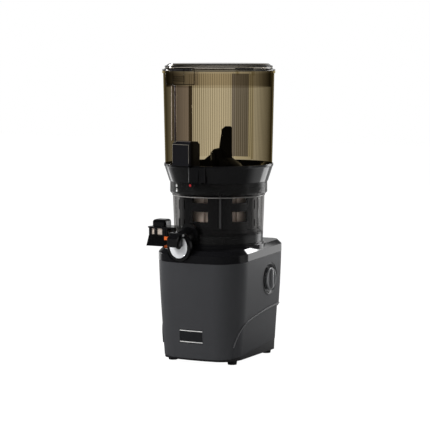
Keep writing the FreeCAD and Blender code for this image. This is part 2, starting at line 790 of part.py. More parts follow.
def pulp_chute():
    half = chute_width / 2.0 - chute_wall
    way = half - chute_wall
    end = -chute_reach + 2.0 * chute_wall + 0.4
    roof_z = chute_floor_z + chute_height
    duct = chute_shape(half, chute_wall + 0.2, chute_floor_z - chute_wall, roof_z + chute_wall)
    space = block(end, -40, -way, way, chute_floor_z, roof_z)
    mouth = block(end, mouth_x, -way, way, chute_floor_z - 20, chute_floor_z + 5)
    pivot = rod(2.0 + run_gap, Vector(gate_x, -40, gate_z), Vector(gate_x, 40, gate_z))
    return duct.cut([space, mouth, pivot, drum_space()])


def skirt_solid(spare):
    def ring(z, grow):
        x0 = -chute_reach - grow + spare
        x1 = mouth_x + 2.4 + grow - spare
        y = chute_width / 2.0 + grow - spare
        corners = [Vector(x0, -y, z), Vector(x1, -y, z), Vector(x1, y, z), Vector(x0, y, z)]
        return Part.makePolygon(corners + corners[:1])
    top = chute_floor_z + 2.0
    levels = [(top + spare, 0.0), (chute_floor_z - mouth_drop - spare, 3.4)]
    return Part.makeLoft([ring(z, grow) for z, grow in levels], True, True)


def chute_cover():
    half = chute_width / 2.0
    top = chute_floor_z + chute_height + chute_wall + 2.0
    sleeve = chute_shape(half, 0.0, chute_floor_z - 1.0, top)
    lip = chute_shape(half + 1.2, -1.2, top - 2.4, top)
    dome = block(-chute_reach + 4, mouth_x, -half + 3, half - 3, top - 1, top + 12)
    dome = dome.makeFillet(5.0, [e for e in dome.Edges if e.BoundBox.ZMax > top + 5])
    skirt = skirt_solid(0.0)
    solid = joined([sleeve, lip, dome, skirt])
    inside = half - chute_wall
    start = -chute_reach + chute_wall + 0.2
    duct = block(start, -60, -inside, inside, chute_floor_z - chute_wall, top - 2.0)
    below = block(mouth_x + 4.0, -60, -half - 5, half + 5, chute_floor_z - 40, chute_floor_z - 1.0)
    hollow = skirt_solid(2.0)
    windows = []
    wide = half + 5
    for x0, x1 in ((5.0, 10.5), (16.0, 26.0)):
        window = block(x0 - chute_reach, x1 - chute_reach, -wide, wide, chute_floor_z + 2.5, top - 3.0)
        windows.append(window)
    arm = block(gate_x - 5, gate_x + 9, -wide, wide, chute_floor_z + 2.5, top - 3.0)
    return solid.cut([duct, below, hollow, arm, drum_space()] + windows)


def pulp_gate():
    half = chute_width / 2.0 - 2.0 * chute_wall - move_gap
    flap = block(gate_x - 1.2, gate_x + 1.2, -half, half, chute_floor_z + move_gap, gate_z)
    outer = chute_width / 2.0 + 4.6
    pivot = rod(2.0, Vector(gate_x, -outer, gate_z), Vector(gate_x, half + chute_wall, gate_z))
    arm = block(gate_x - 1.6, gate_x + 1.6, -outer, -outer + 2.4, chute_floor_z - 3, gate_z)
    tab = block(gate_x - 4.6, gate_x + 4.6, -outer, -outer + 3.0, chute_floor_z - 5.5, chute_floor_z + 0.5)
    return joined([flap, pivot, arm, tab])


def strainer_frame():
    flange = tube(mesh_radius + 3.4, neck_radius + 2.6, basket_z, basket_z + 3)
    hole = sector(well_outer + 0.5, well_inner, basket_z - 1, basket_z + 5, -90.0, 22.0)
    low = tube(mesh_radius + 3.4, mesh_radius, basket_z + 2, basket_z + 11)
    high = tube(mesh_radius + 4.4, mesh_radius, basket_top_z - 9, basket_top_z)
    post = block(-2.6, 2.6, -mesh_radius - 3.2, -mesh_radius + 0.5, basket_z + 5, basket_top_z - 4)
    post = post.cut(cylinder(mesh_radius, 0, 400))
    posts = [turned(post, 60.0 * k) for k in range(6)]
    return joined([flange.cut(hole), low, high] + posts)


def strainer_mesh():
    return tube(mesh_radius, mesh_radius - 0.8, basket_z + 3, basket_top_z - 2)


def auger():
    foot = gear_z + gear_width
    neck = basket_z + 4.0
    top = basket_top_z - 3.0
    root = sun_module * (sun_teeth / 2.0 - 1.25) - 0.7
    core = revolved([(0, foot - 1), (root, foot - 1), (root, foot + 0.5), (neck_radius, foot + 1),
                     (neck_radius, neck), (neck_radius + 10.6, neck + 0.6), (neck_radius + 6.6, neck + 18),
                     (neck_radius - 2.4, top), (0, top)])
    outer = mesh_radius - 1.6
    profile = [(12, 0), (outer, 1.5), (outer, 6.5), (12, 10)]
    corners = [Vector(r, 0, neck + 0.6 + z) for r, z in profile]
    path = Part.makeHelix(auger_pitch, top - neck - 12, outer).translated(Vector(0, 0, neck + 0.6))
    sweep = Part.BRepOffsetAPI.MakePipeShell(path)
    sweep.setFrenetMode(True)
    sweep.add(Part.makePolygon(corners + corners[:1]))
    sweep.build()
    sweep.makeSolid()
    flight = sweep.shape()
    flights = [flight, turned(flight, 180.0)]
    hexed = hexagon(feed_hex, top - 1, collar_z + 16)
    sun = gear(sun_teeth, sun_module, gear_z, foot, 0.0)
    solid = joined([core, hexed, sun] + flights)
    socket = hexagon(drive_hex + 2 * seat_gap, gear_z - 5, drum_floor_z + 36)
    cavity = cylinder(sleeve_radius + 1.5, gear_z - 5, drum_floor_z + 15.4)
    return solid.cut([socket, cavity])


def feed_rotor():
    low = basket_top_z + 2.0
    seat = rotor_seat_z
    rim = throat_radius - 6.0
    hub = revolved([(0, low), (12.5, low), (12.5, seat), (rim - 1, seat + 2), (rim, seat + 5),
                    (rim - 14.0, seat + 20), (17.0, seat + 34), (9.0, seat + 44), (0, seat + 46)])
    hub = hub.cut(sector(60.0, 14.0, seat - 2, seat + 60, rotor_angle - 150.0, 62.0))
    tip = rotor_finger_z
    points = [(-30.0, seat + 3), (-24.0, seat + 18), (-22.4, seat + 40), (-22.4, tip - 2.0), (-20.4, tip),
              (-11.0, tip), (-5.0, tip - 5.0), (-2.0, tip - 26.0), (0.0, seat + 38), (6.0, seat + 3)]
    finger = slab(points, -finger_width / 2.0, finger_width / 2.0)
    finger = finger.makeFillet(1.6, [e for e in finger.Edges if e.BoundBox.ZMin > seat + 40])
    side = [(-rim + 1, seat + 1), (-rim + 1, seat + 9), (-12.0, seat + 21), (-8.0, seat + 1)]
    wing = turned(slab(side, -3.5, 3.5), 146.0)
    solid = joined([hub, turned(finger, rotor_angle), turned(wing, rotor_angle)])
    return solid.cut(hexagon(feed_hex + 2 * seat_gap, low - 1, collar_z + 16.5))


def rotor_blade():
    seat = rotor_seat_z
    tip = -throat_radius + 4.0
    side = [(tip, seat + 1.5), (tip, seat + 6.0), (tip + 5.0, seat + 9.5),
            (-22.0, seat + 14.0), (-22.0, seat + 1.5)]
    blade = slab(side, 3.5, 5.0)
    return turned(turned(blade, 146.0), rotor_angle).cut(feed_rotor())


def brush_frame():
    wall = tube(brush_radius, brush_radius - 3.2, gear_z - 1.5, brush_top_z)
    foot = cylinder(brush_radius + 1.8, gear_z - 1.5, gear_z + gear_width + 0.5)
    pitch = ring_pitch_radius
    space_at = 0.0 if idler_teeth % 2 else 180.0 / ring_teeth
    tip = pitch + 1.25 * sun_module
    hole = tooth_outline(ring_teeth, sun_module, tip, pitch - 0.9 * sun_module, backlash, space_at)
    hole = hole.extrude(Vector(0, 0, 40)).translated(Vector(0, 0, gear_z - 5))
    hole = hole.common(cylinder(brush_radius, gear_z - 10, gear_z + gear_width + 0.5))
    upper = cylinder(brush_radius - 3.2, gear_z + gear_width + 0.4, brush_top_z + 5)
    crown = tube(brush_radius + 1.8, brush_radius - 3.2, brush_top_z - 5, brush_top_z)
    solid = joined([wall, foot, crown]).cut([hole, upper])
    rows = ((drum_floor_z + 23, drum_floor_z + 40), (drum_floor_z + 54.5, drum_floor_z + 65))
    cuts = []
    for k in range(6):
        for z0, z1 in rows:
            cuts.append(sector(brush_radius + 5, brush_radius - 8, z0, z1, 60.0 * k - 1.0, 12.5))
        for z0, z1 in wiper_slots():
            slot = block(-1.6, 1.6, -brush_radius - 5, -brush_radius + 8, z0, z1)
            cuts.append(turned(slot, 60.0 * k + 29.0))
    return solid.cut(cuts)


def wiper_slots():
    """Heights of the two slots through which each wiper is tied to its frame."""
    return ((drum_floor_z + 13, drum_floor_z + 25), (drum_floor_z + 43, drum_floor_z + 58))


def wiper_blades():
    z0 = drum_floor_z + 13
    z1 = brush_top_z - 5.2
    touch = drum_radius_low - drum_wall + 0.1
    blades = []
    for k in range(3):
        outer = block(-1.5, 1.5, -touch, -brush_radius, z0, z1)
        inner = block(-1.5, 1.5, -brush_radius + 3.2, -mesh_radius - 4.8, z0, z1)
        outer = outer.cut(cylinder(brush_radius, 0, 500))
        inner = inner.common(cylinder(brush_radius - 3.2, 0, 500))
        ties = [block(-1.5, 1.5, -brush_radius - 1, -brush_radius + 4.2, low, high)
                for low, high in wiper_slots()]
        blades.append(turned(joined([outer, inner] + ties), 120.0 * k + 29.0))
    return blades


def idler_gear():
    gap_at = 180.0 + 180.0 / idler_teeth
    toothed = gear(idler_teeth, sun_module, gear_z, gear_z + gear_width - 0.4, gap_at)
    toothed = toothed.cut(cylinder(4.0 + run_gap, 0, 400))
    return toothed.translated(place(idler_angle, idler_orbit))


def funnel_space():
    """Room above the funnel of the collar."""
    rim = collar_top_z
    edge = collar_radius - 4.2
    far = collar_radius + 20
    return revolved([(0, collar_z), (throat_radius, collar_z + 6), (edge, rim - 1), (edge, rim),
                     (far, rim), (far, rim + 80), (0, rim + 80)])


def hopper_collar():
    rim = collar_top_z
    skirt = lock_ring_radius - drum_wall - 3.2
    edge = collar_radius - 4.2
    body = revolved([(throat_radius, collar_z - 5.0), (throat_radius + 3, collar_z - 5.0),
                     (throat_radius + 3, collar_z), (lock_ring_radius + 1.1, collar_z),
                     (collar_radius - 1.0, rim - 5.0), (collar_radius, rim - 3.6), (collar_radius, rim),
                     (edge, rim), (edge, rim - 1), (throat_radius, collar_z + 6)])
    ring = tube(skirt, skirt - 2.6, collar_z - 12.0, collar_z + 1)
    lug = sector(lock_ring_radius - drum_wall - 0.4, skirt - 1, drum_top_z - 10.6, drum_top_z - 6 - move_gap,
                 head_angle, 7.0)
    lugs = [turned(lug, 90.0 * k) for k in range(4)]
    return joined([body, ring] + lugs)


def hopper_seal():
    skirt = lock_ring_radius - drum_wall - 3.2
    return tube(skirt - 2.6, skirt - 5.0, collar_z - 8.0, collar_z - 4.0)


def lock_tab():
    rim = collar_top_z
    plate = block(-15, 15, -collar_radius - 2.6, -collar_radius + 16, collar_z + 1.0, rim - 0.6)
    plate = plate.makeChamfer(2.0, [e for e in plate.Edges if e.BoundBox.YMax < -collar_radius])
    notch = block(3, 9, -collar_radius - 6, -collar_radius - 1.0, collar_z - 2, rim - 8)
    solid_collar = revolved([(0, collar_z), (lock_ring_radius + 1.1, collar_z),
                             (collar_radius - 1.0, rim - 5.0), (collar_radius, rim - 3.6),
                             (collar_radius, rim), (0, rim)])
    return turned(plate.cut(notch), 4.0).cut(solid_collar)


def rib_wire(radius, z):
    """Inner plan of the hopper: plain in front, fine upright ribs round the back."""
    pitch = 2.45
    count = 57
    height = 0.9
    start = 180.0 - pitch * count / 2.0
    points = []
    for k in range(count):
        turn = start + pitch * k
        for part, drop in ((0.0, 0.0), (0.3, 0.0), (0.45, height), (0.85, height)):
            points.append(place(turn + pitch * part, radius - drop, z))
    points.append(place(start + pitch * count, radius, z))
    front = Part.Arc(points[-1], place(0.0, radius, z), points[0]).toShape()
    return Part.Wire(Part.makePolygon(points).Edges + [front])


def hopper_cone(grow, z0, z1):
    slope = (hopper_radius_high - hopper_radius_low) / hopper_height
    low = hopper_radius_low + grow + slope * (z0 - collar_top_z)
    high = hopper_radius_low + grow + slope * (z1 - collar_top_z)
    return Part.makeCone(low, high, z1 - z0, Vector(0, 0, z0), UP)


def channel_front():
    return hopper_radius_high + channel_proud


def channel_top():
    return hopper_top_z - 24.0


def hopper():
    z0 = collar_top_z
    z1 = hopper_top_z
    half = channel_width / 2.0
    front = channel_front()
    body = hopper_cone(0.0, z0, z1)
    flange = cylinder(rim_radius, rim_z, z1)
    channel = block(-half, half, -front, -70, z0, channel_top())
    channel = channel.makeFillet(3.0, [e for e in channel.Edges
                                       if e.BoundBox.YMax < -front + 1 and e.BoundBox.ZLength > 50])
    wide = hinge_width / 2.0
    spine = block(-wide, wide, hopper_radius_low - 10, hopper_radius_high + 6.5, z0 + 1, rim_z - 4)
    spine = spine.makeFillet(3.0, [e for e in spine.Edges
                                   if e.BoundBox.YMin > hopper_radius_high and e.BoundBox.ZLength > 50])
    ears = []
    for side in (-1, 1):
        near, far = sorted((side * (wide - 6.0), side * wide))
        hook = hinge_rod(hinge_pin_radius + 2.4, near, far)
        web = block(near, far, hopper_radius_high - 4, hinge_y + 4.4, rim_z - 6, hinge_z)
        ears += [hook, web.cut(block(near, far, 0, hinge_y - 4.4, z1, z1 + 20))]
    solid = joined([body, flange, headed(channel), spine] + ears)
    slope = (hopper_radius_high - hopper_radius_low) / hopper_height
    inner = hopper_radius_low - hopper_wall
    above = inner + slope * (hopper_height + 25)
    cavity = Part.makeLoft([rib_wire(inner - slope * 5, z0 - 5), rib_wire(above, z1 + 25)], True, True)
    duct = block(-half + 2.2, half - 2.2, -front + 1.8, -70, z0 - 5, channel_top() + 5)
    duct = headed(duct).cut(hopper_cone(0.2, z0 - 10, z1 + 10))
    window = headed(block(-half + 1.2, half - 1.2, -front + 1.8, -60, z0 - 5, z0 + interlock_height + 0.5))
    return solid.cut([cavity, duct, window, hinge_rod(hinge_pin_radius, -hinge_width, hinge_width)])


def hinge_rod(radius, start, end):
    return rod(radius, Vector(start, hinge_y, hinge_z), Vector(end, hinge_y, hinge_z))


def rod_place():
    return (-channel_width / 2.0 + 5.5, -(hopper_radius_high + 1.2))


def interlock_housing():
    half = channel_width / 2.0 - 1.5
    z1 = collar_top_z + interlock_height
    front = channel_front() - 2.1
    case = block(-half, half, -front, -hopper_radius_low + 20.3, collar_z, z1)
    case = case.makeChamfer(5.0, [e for e in case.Edges
                                  if e.BoundBox.ZMin > z1 - 1 and e.BoundBox.XLength > 10])
    x, y = rod_place()
    foot = spring_foot()
    bore = cylinder(rod_radius + run_gap, foot, z1 + 1, x, y)
    pocket = cylinder(spring_radius + spring_wire + 0.65, foot, foot + spring_height + 3.8, x, y)
    case = headed(case.cut([bore, pocket]))
    return case.common(funnel_space())


def interlock_rod():
    x, y = rod_place()
    seat = spring_foot() + spring_height + 1.3
    stem = cylinder(rod_radius, seat + 0.5, channel_top() + 1.4, x, y)
    return headed(joined([stem, cylinder(rod_radius + 0.9, seat, seat + 1.5, x, y)]))


def spring_foot():
    return collar_top_z + 5.0


def interlock_spring():
    x, y = rod_place()
    z0 = spring_foot() + spring_wire + 0.25
    path = Part.makeHelix(spring_height / spring_turns, spring_height, spring_radius)
    path = path.translated(Vector(x, y, z0))
    sweep = Part.BRepOffsetAPI.MakePipeShell(path)
    sweep.setFrenetMode(True)
    sweep.add(Part.Wire(Part.makeCircle(spring_wire, Vector(x + spring_radius, y, z0), Vector(0, 1, 0))))
    sweep.build()
    sweep.makeSolid()
    return headed(sweep.shape())


def spring_gap():
    """Least gap between points of the spring's wire that lie half a turn or more apart."""
    steps = 48
    pitch = spring_height / spring_turns
    points = []
    for k in range(int(spring_turns * steps) + 1):
        points.append(place(360.0 * k / steps, spring_radius, pitch * k / steps))
    far = steps // 2
    gaps = [first.distanceToPoint(other) for k, first in enumerate(points) for other in points[k + far:]]
    return min(gaps) - 2.0 * spring_wire


def hinge_pin():
    return hinge_rod(hinge_pin_radius, -hinge_width / 2.0, hinge_width / 2.0)


def lid():
    rim = lid_rim()
    skirt = lid_skirt_radius()
    z = lid_z
    top = lid_top_z
    shell = revolved([(0, top), (rim - 11.5, top), (rim - 4.5, top - 4.5), (rim - 4.5, z + 2.4),
                      (rim, z + 2.4), (rim, z), (skirt, z), (skirt, z - lid_skirt),
                      (skirt - 2.2, z - lid_skirt), (skirt - 2.2, top - 6.2), (skirt - 6.0, top - 2.6),
                      (0, top - 2.6)])
    groove = tube(rim - 2.0, skirt + 0.8, z - 1, z + 1.6)
    half = hinge_width / 2.0 - 6.0 - move_gap
    knuckle = joined([hinge_rod(hinge_pin_radius + 2.4, -half, half),
                      block(-half, half, rim - 6.0, hinge_y, z + 0.1, z + 2.4)])
    ears = []
    for side in (-1, 1):
        near, far = sorted((side * (latch_knuckle() + 0.4), side * latch_ear()))
        ear = joined([latch_rod(latch_pin_radius + 1.4, near, far),
                      block(near, far, -latch_pin_v, -rim + 10.0, z + 0.3, latch_pin_z + 3.2)])
        ears.append(headed(ear.common(block(-60, 60, -200, -60, z + 0.3, 600))))
    bowl = cylinder(rim - 5.5, 0, top - 3)
    whole = joined([shell, knuckle.cut(bowl)] + [ear.cut(bowl) for ear in ears])
    pins = [hinge_rod(hinge_pin_radius + run_gap, -hinge_width, hinge_width),
            headed(latch_rod(latch_pin_radius, -latch_width, latch_width))]
    return whole.cut(pins + [groove])


def lid_rim():
    return rim_radius - 0.2


def lid_skirt_radius():
    return hopper_radius_high - hopper_wall - 2.6


def latch_knuckle():
    """Half width of the latch's knuckle."""
    return latch_width / 2.0 - 13.0


def latch_ear():
    """Reach of the ears of the lid along the latch's pin."""
    return latch_knuckle() + 5.4


def latch_rod(radius, start, end):
    return rod(radius, Vector(start, -latch_pin_v, latch_pin_z), Vector(end, -latch_pin_v, latch_pin_z))


def lid_seal():
    outer = lid_rim() - 2.0 - seat_gap
    return tube(outer, lid_skirt_radius() + 0.8 + seat_gap, lid_z - 0.2, lid_z + 1.6)


def latch_pin():
    return headed(latch_rod(latch_pin_radius, -latch_ear(), latch_ear()))


def lid_latch():
    inner = rim_radius + 0.8
    outer = inner + 7.5
    z0 = hopper_top_z - latch_drop
    half = latch_width / 2.0
    panel = tube(outer, inner, z0, hopper_top_z)
    panel = panel.common(block(-half, half, -200, 0, z0, hopper_top_z))
    panel = panel.makeFillet(1.5, [e for e in panel.Edges
                                   if e.BoundBox.ZLength > 15 and e.BoundBox.YMin < -outer + 12])
    hook = tube(inner + 1, rim_radius + move_gap, rim_z - 3.4, rim_z - 0.5)
    hook = hook.common(block(-16, 16, -200, 0, 0, 600))
    wide = latch_knuckle()
    neck = block(-wide, wide, -latch_pin_v - 3.0, -latch_pin_v + 2.0, hopper_top_z - 4, latch_pin_z)
    knuckle = joined([latch_rod(latch_pin_radius + 1.2, -wide, wide), neck])
    solid = joined([panel, hook, knuckle])
    dish = block(-half + 7, half - 7, -outer - 5, -outer + 2.0, z0 + 4, z0 + 15)
    pin = latch_rod(latch_pin_radius + run_gap, -latch_width, latch_width)
    return headed(solid.cut([pin, dish]))


def pieces():
    """Every node of the juicer as a list of solids, in drive-axis coordinates."""
    single = (body_shell, deck, bottom_cover, badge_plate, knob_bezel, rotary_switch, motor_can, motor_stator,
              gearbox_housing, gearbox_cover, output_bushing, shaft_seal, control_board, cord_gland,
              control_knob, motor_rotor, motor_pinion, cooling_fan, layshaft, first_wheel, second_pinion,
              drive_shaft, output_wheel, drum, juice_spout, juice_cap, cap_disc, lever_pin, pulp_chute,
              chute_cover, drum_seal, strainer_frame, strainer_mesh, lock_mark, auger, feed_rotor,
              rotor_blade, brush_frame, idler_gear, hopper, hopper_collar, interlock_housing,
              interlock_spring, lock_tab, hopper_seal, hinge_pin, lid, lid_seal, latch_pin, lid_latch,
              interlock_rod, cap_lever, cap_plug, pulp_gate)
    groups = (rubber_feet, base_screws, wiper_blades)
    nodes = {make.__name__: [make()] for make in single}
    nodes.update({make.__name__: make() for make in groups})
    return nodes


def origin_shift(nodes):
    """Move that puts the middle of the footprint box at X = Y = 0."""
    everything = Part.makeCompound([solid for solids in nodes.values() for solid in solids])
    room = everything.optimalBoundingBox()
    return Vector(-(room.XMin + room.XMax) / 2.0, -(room.YMin + room.YMax) / 2.0, -room.ZMin)


def main():
    os.makedirs("parts", exist_ok=True)
    nodes = pieces()
    shift = origin_shift(nodes)
    for name, solids in nodes.items():
        moved = [solid.translated(shift) for solid in solids]
        shape = moved[0] if len(moved) == 1 else Part.makeCompound(moved)
        shape.exportStep(os.path.join("parts", name + ".step"))
        print(name, len(shape.Solids), shape.isValid(), round(shape.Volume / 1000.0, 2))
    print("interlock_spring least gap to itself", round(spring_gap(), 2))
    print("shift", shift)


if __name__ == "__main__":
    main()
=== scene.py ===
"""Looks of a tall slow juicer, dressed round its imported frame.

Every surface gets its finish here, and small moulded details are added to the carried-over
solids. Sizes are metres in the frame's axes: +Z is up and the juice cap faces -Y.
"""
import logging
import math
from dataclasses import dataclass
from enum import Enum
from typing import Any, Dict, List, Optional, Sequence, Tuple, Union

import bmesh
import bpy
from mathutils import Matrix, Vector


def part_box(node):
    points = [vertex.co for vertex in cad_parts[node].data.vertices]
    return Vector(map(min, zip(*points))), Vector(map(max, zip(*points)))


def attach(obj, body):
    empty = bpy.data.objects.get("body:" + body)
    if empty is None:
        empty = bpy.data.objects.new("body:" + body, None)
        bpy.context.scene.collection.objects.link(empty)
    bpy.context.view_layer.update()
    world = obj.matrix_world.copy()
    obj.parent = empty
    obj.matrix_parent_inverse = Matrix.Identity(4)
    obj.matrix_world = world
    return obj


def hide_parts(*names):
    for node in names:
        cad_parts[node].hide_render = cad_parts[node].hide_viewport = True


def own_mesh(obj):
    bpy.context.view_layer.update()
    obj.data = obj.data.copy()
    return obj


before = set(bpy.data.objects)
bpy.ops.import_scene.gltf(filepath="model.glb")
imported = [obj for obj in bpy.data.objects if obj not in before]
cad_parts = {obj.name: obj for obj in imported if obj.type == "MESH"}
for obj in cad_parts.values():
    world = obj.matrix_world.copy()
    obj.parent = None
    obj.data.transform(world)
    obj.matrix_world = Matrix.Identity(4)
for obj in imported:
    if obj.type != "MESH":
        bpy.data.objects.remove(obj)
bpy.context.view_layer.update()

log = logging.getLogger("juicer")

Color = Tuple[float, float, float]
Size = Tuple[float, float, float]
Pair = Tuple[float, float]
WHITE = (1.0, 1.0, 1.0, 1.0)
# Degrees from the front to the spout's line.
HEAD_ANGLE = -13.0
# Turns that lay an upright axis level, towards the front or to the side.
FACE_ON = Matrix.Rotation(math.pi / 2.0, 4, "X")
SIDEWAYS = Matrix.Rotation(math.pi / 2.0, 4, "Y")
# Octaves of a plain noise and of a richer one.
PLAIN, RICH = 2.0, 3.0
# Depth of a moulded texture, and the rays that look for an edge to ease.
RELIEF_DEPTH, BEVEL_SAMPLES = 0.0002, 4
# Mirror of clear plastic seen straight on, and how steeply it grows to a glancing angle.
BASE_MIRROR, MIRROR_POWER = 0.04, 5.0
# Radii of eased edges.
EASE_FINE, EASE, EASE_WIDE = 0.0001, 0.0002, 0.0003
# Distances within which corners are one.
JOIN, CUT_JOIN = 1e-6, 1e-7
# Faces across an eased edge, round a wire and along one of its turns.
EASE_STEPS, WIRE_SIDES, COIL_STEPS = 3, 12, 28
# Faces round a wide bead, the cap's ring, a small ring or stud, and a padlock's bow.
WIDE_STEPS, RING_STEPS, SMALL_STEPS, BOW_STEPS = 96, 72, 32, 28
# Edges that turn by more than this stay sharp.
SHARP_ANGLE = math.radians(38.0)


class Signal:
    """A node's output socket whose arithmetic adds Math nodes."""

    def __init__(self, graph: "Graph", socket: bpy.types.NodeSocket) -> None:
        """Wraps one output.

        Args:
            graph: The graph that owns the node.
            socket: The output socket.
        """
        self.graph = graph
        self.socket = socket

    def math(self, operation: str, *values: Union["Signal", float]) -> "Signal":
        """Adds one Math node.

        Args:
            operation: The Math node's operation.
            values: Its inputs in order.

        Returns:
            The node's result.
        """
        settings = {"operation": operation}
        return self.graph.node("ShaderNodeMath", settings, dict(enumerate(values))).out()

    def __add__(self, other: Union["Signal", float]) -> "Signal":
        """Sum of two values."""
        return self.math("ADD", self, other)

    def __radd__(self, other: float) -> "Signal":
        """Sum of a number and this value."""
        return self.math("ADD", other, self)

    def __sub__(self, other: Union["Signal", float]) -> "Signal":
        """Difference of two values."""
        return self.math("SUBTRACT", self, other)

    def __rsub__(self, other: float) -> "Signal":
        """A number less this value."""
        return self.math("SUBTRACT", other, self)

    def __mul__(self, other: Union["Signal", float]) -> "Signal":
        """Product of two values."""
        return self.math("MULTIPLY", self, other)

    def __pow__(self, other: float) -> "Signal":
        """This value raised to a power."""
        return self.math("POWER", self, other)

    def over(self, limit: float) -> "Signal":
        """1 where this value is over a limit, else 0."""
        return self.math("GREATER_THAN", self, limit)

    def swing(self, span: float) -> "Signal":
        """A noise as a change of both signs over a span."""
        return (self - 0.5) * span

    def clamped(self) -> "Signal":
        """This value held between 0 and 1."""
        return self.graph.node("ShaderNodeClamp", {}, {"Value": self}).out()


class Node:
    """A shader node with its outputs as signals."""

    def __init__(self, graph: "Graph", made: bpy.types.Node) -> None:
        """Wraps one node.

        Args:
            graph: The graph that owns the node.
            made: The node itself.
        """
        self.graph = graph
        self.made = made

    def out(self, key: Union[int, str] = 0) -> Signal:
        """One output of the node, by index or name."""
        return Signal(self.graph, self.made.outputs[key])


class Graph:
    """The node tree of one material or world."""

    def __init__(self, owner: Union[bpy.types.Material, bpy.types.World]) -> None:
        """Starts an empty tree.

        Args:
            owner: The material or world that gets the nodes.
        """
        owner.use_nodes = True
        self.tree = owner.node_tree
        self.tree.nodes.clear()

    def node(self, kind: str, settings: Optional[Dict[str, Any]] = None,
             sockets: Optional[Dict[Union[int, str], Any]] = None) -> Node:
        """Makes a node, sets it up and feeds its sockets.

        Args:
            kind: The node's type name.
            settings: Attributes to set first.
            sockets: Values or signals by input index or name.

        Returns:
            The wrapped node.
        """
        made = self.tree.nodes.new(kind)
        for name, value in (settings or {}).items():
            setattr(made, name, value)
        for key, value in (sockets or {}).items():
            if isinstance(value, Signal):
                self.tree.links.new(value.socket, made.inputs[key])
            else:
                made.inputs[key].default_value = value
        return Node(self, made)

    def place(self) -> Signal:
        """Place on the piece's own axes."""
        return self.node("ShaderNodeTexCoord").out("Object")

    def along(self, axis: int) -> Signal:
        """Place along one of the piece's own axes."""
        return self.node("ShaderNodeSeparateXYZ", {}, {0: self.place()}).out(axis)

    def noise(self, scale: float, detail: float = PLAIN, stretch: Size = (1.0, 1.0, 1.0)) -> Signal:
        """Soft noise on the piece's own coordinates.

        Args:
            scale: Cells per metre.
            detail: Octaves.
            stretch: Scale along each axis.

        Returns:
            A value about 0.5.
        """
        place = self.node("ShaderNodeMapping", {}, {"Vector": self.place(), "Scale": stretch}).out()
        sockets = {"Vector": place, "Scale": scale, "Detail": detail}
        return self.node("ShaderNodeTexNoise", {}, sockets).out(0)

    def ramp(self, value: Signal, span: Pair, ends: Pair, smooth: bool = True) -> Signal:
        """A value that follows another over a span.

        Args:
            value: The value that is followed.
            span: Where the change starts and ends.
            ends: The result at the start and at the end.
            smooth: Whether it starts and stops softly.

        Returns:
            The result.
        """
        settings = {"interpolation_type": "SMOOTHSTEP" if smooth else "LINEAR"}
        return self.node("ShaderNodeMapRange", settings, {
            "Value": value, "From Min": span[0], "From Max": span[1],
            "To Min": ends[0], "To Max": ends[1]}).out()

    def blend(self, factor: Signal, first: Color, second: Color) -> Signal:
        """Colour between two colours by a factor."""
        sockets = {0: factor, 6: (*first, 1.0), 7: (*second, 1.0)}
        return self.node("ShaderNodeMix", {"data_type": "RGBA"}, sockets).out(2)

    def mix(self, factor: Signal, first: Node, second: Node) -> Node:
        """Shader between two shaders by a factor."""
        return self.node("ShaderNodeMixShader", {}, {0: factor, 1: first.out(), 2: second.out()})

    def film(self, color: Color) -> Node:
        """Clear film that lets one colour through."""
        return self.node("ShaderNodeBsdfTransparent", {}, {"Color": (*color, 1.0)})

    def rays(self) -> Tuple[Signal, Signal]:
        """Tells what a ray is for.

        Returns:
            1 where the ray is seen directly, and 1 where it is mirrored.
        """
        path = self.node("ShaderNodeLightPath")
        seen = (path.out("Is Camera Ray") + path.out("Is Transmission Ray")).clamped()
        return seen, path.out("Is Glossy Ray")

    def relief(self, height: Signal, strength: float, distance: float, rounding: float) -> Signal:
        """Normal of a fine surface texture on edges that look eased.

        Args:
            height: The texture's height from 0 to 1.
            strength: How strongly it shows.
            distance: Its depth in metres.
            rounding: Radius of the eased edges in metres.

        Returns:
            The normal.
        """
        eased = self.node("ShaderNodeBevel", {"samples": BEVEL_SAMPLES}, {"Radius": rounding}).out()
        sockets = {"Strength": strength, "Distance": distance, "Height": height, "Normal": eased}
        return self.node("ShaderNodeBump", {}, sockets).out()

    def surface(self, shader: Node, volume: Optional[Node] = None) -> None:
        """Sends a shader, and a volume if there is one, to the output.

        Args:
            shader: The surface's shader.
            volume: What fills the solid.
        """
        sockets = {"Surface": shader.out()}
        if volume is not None:
            sockets["Volume"] = volume.out()
        self.node("ShaderNodeOutputMaterial", {}, sockets)


def scaled(color: Color, factor: float) -> Color:
    """A colour made lighter or darker."""
    return tuple(min(1.0, channel * factor) for channel in color)


class Finish:
    """A finish that can paint a material."""

    def material(self, name: str) -> bpy.types.Material:
        """Builds the material.

        Args:
            name: The material's name.

        Returns:
            The material.
        """
        made = bpy.data.materials.new(name)
        self.paint(Graph(made))
        return made

    def paint(self, graph: Graph) -> None:
        """Adds the finish's nodes to a material's graph; each finish has its own."""
        raise NotImplementedError


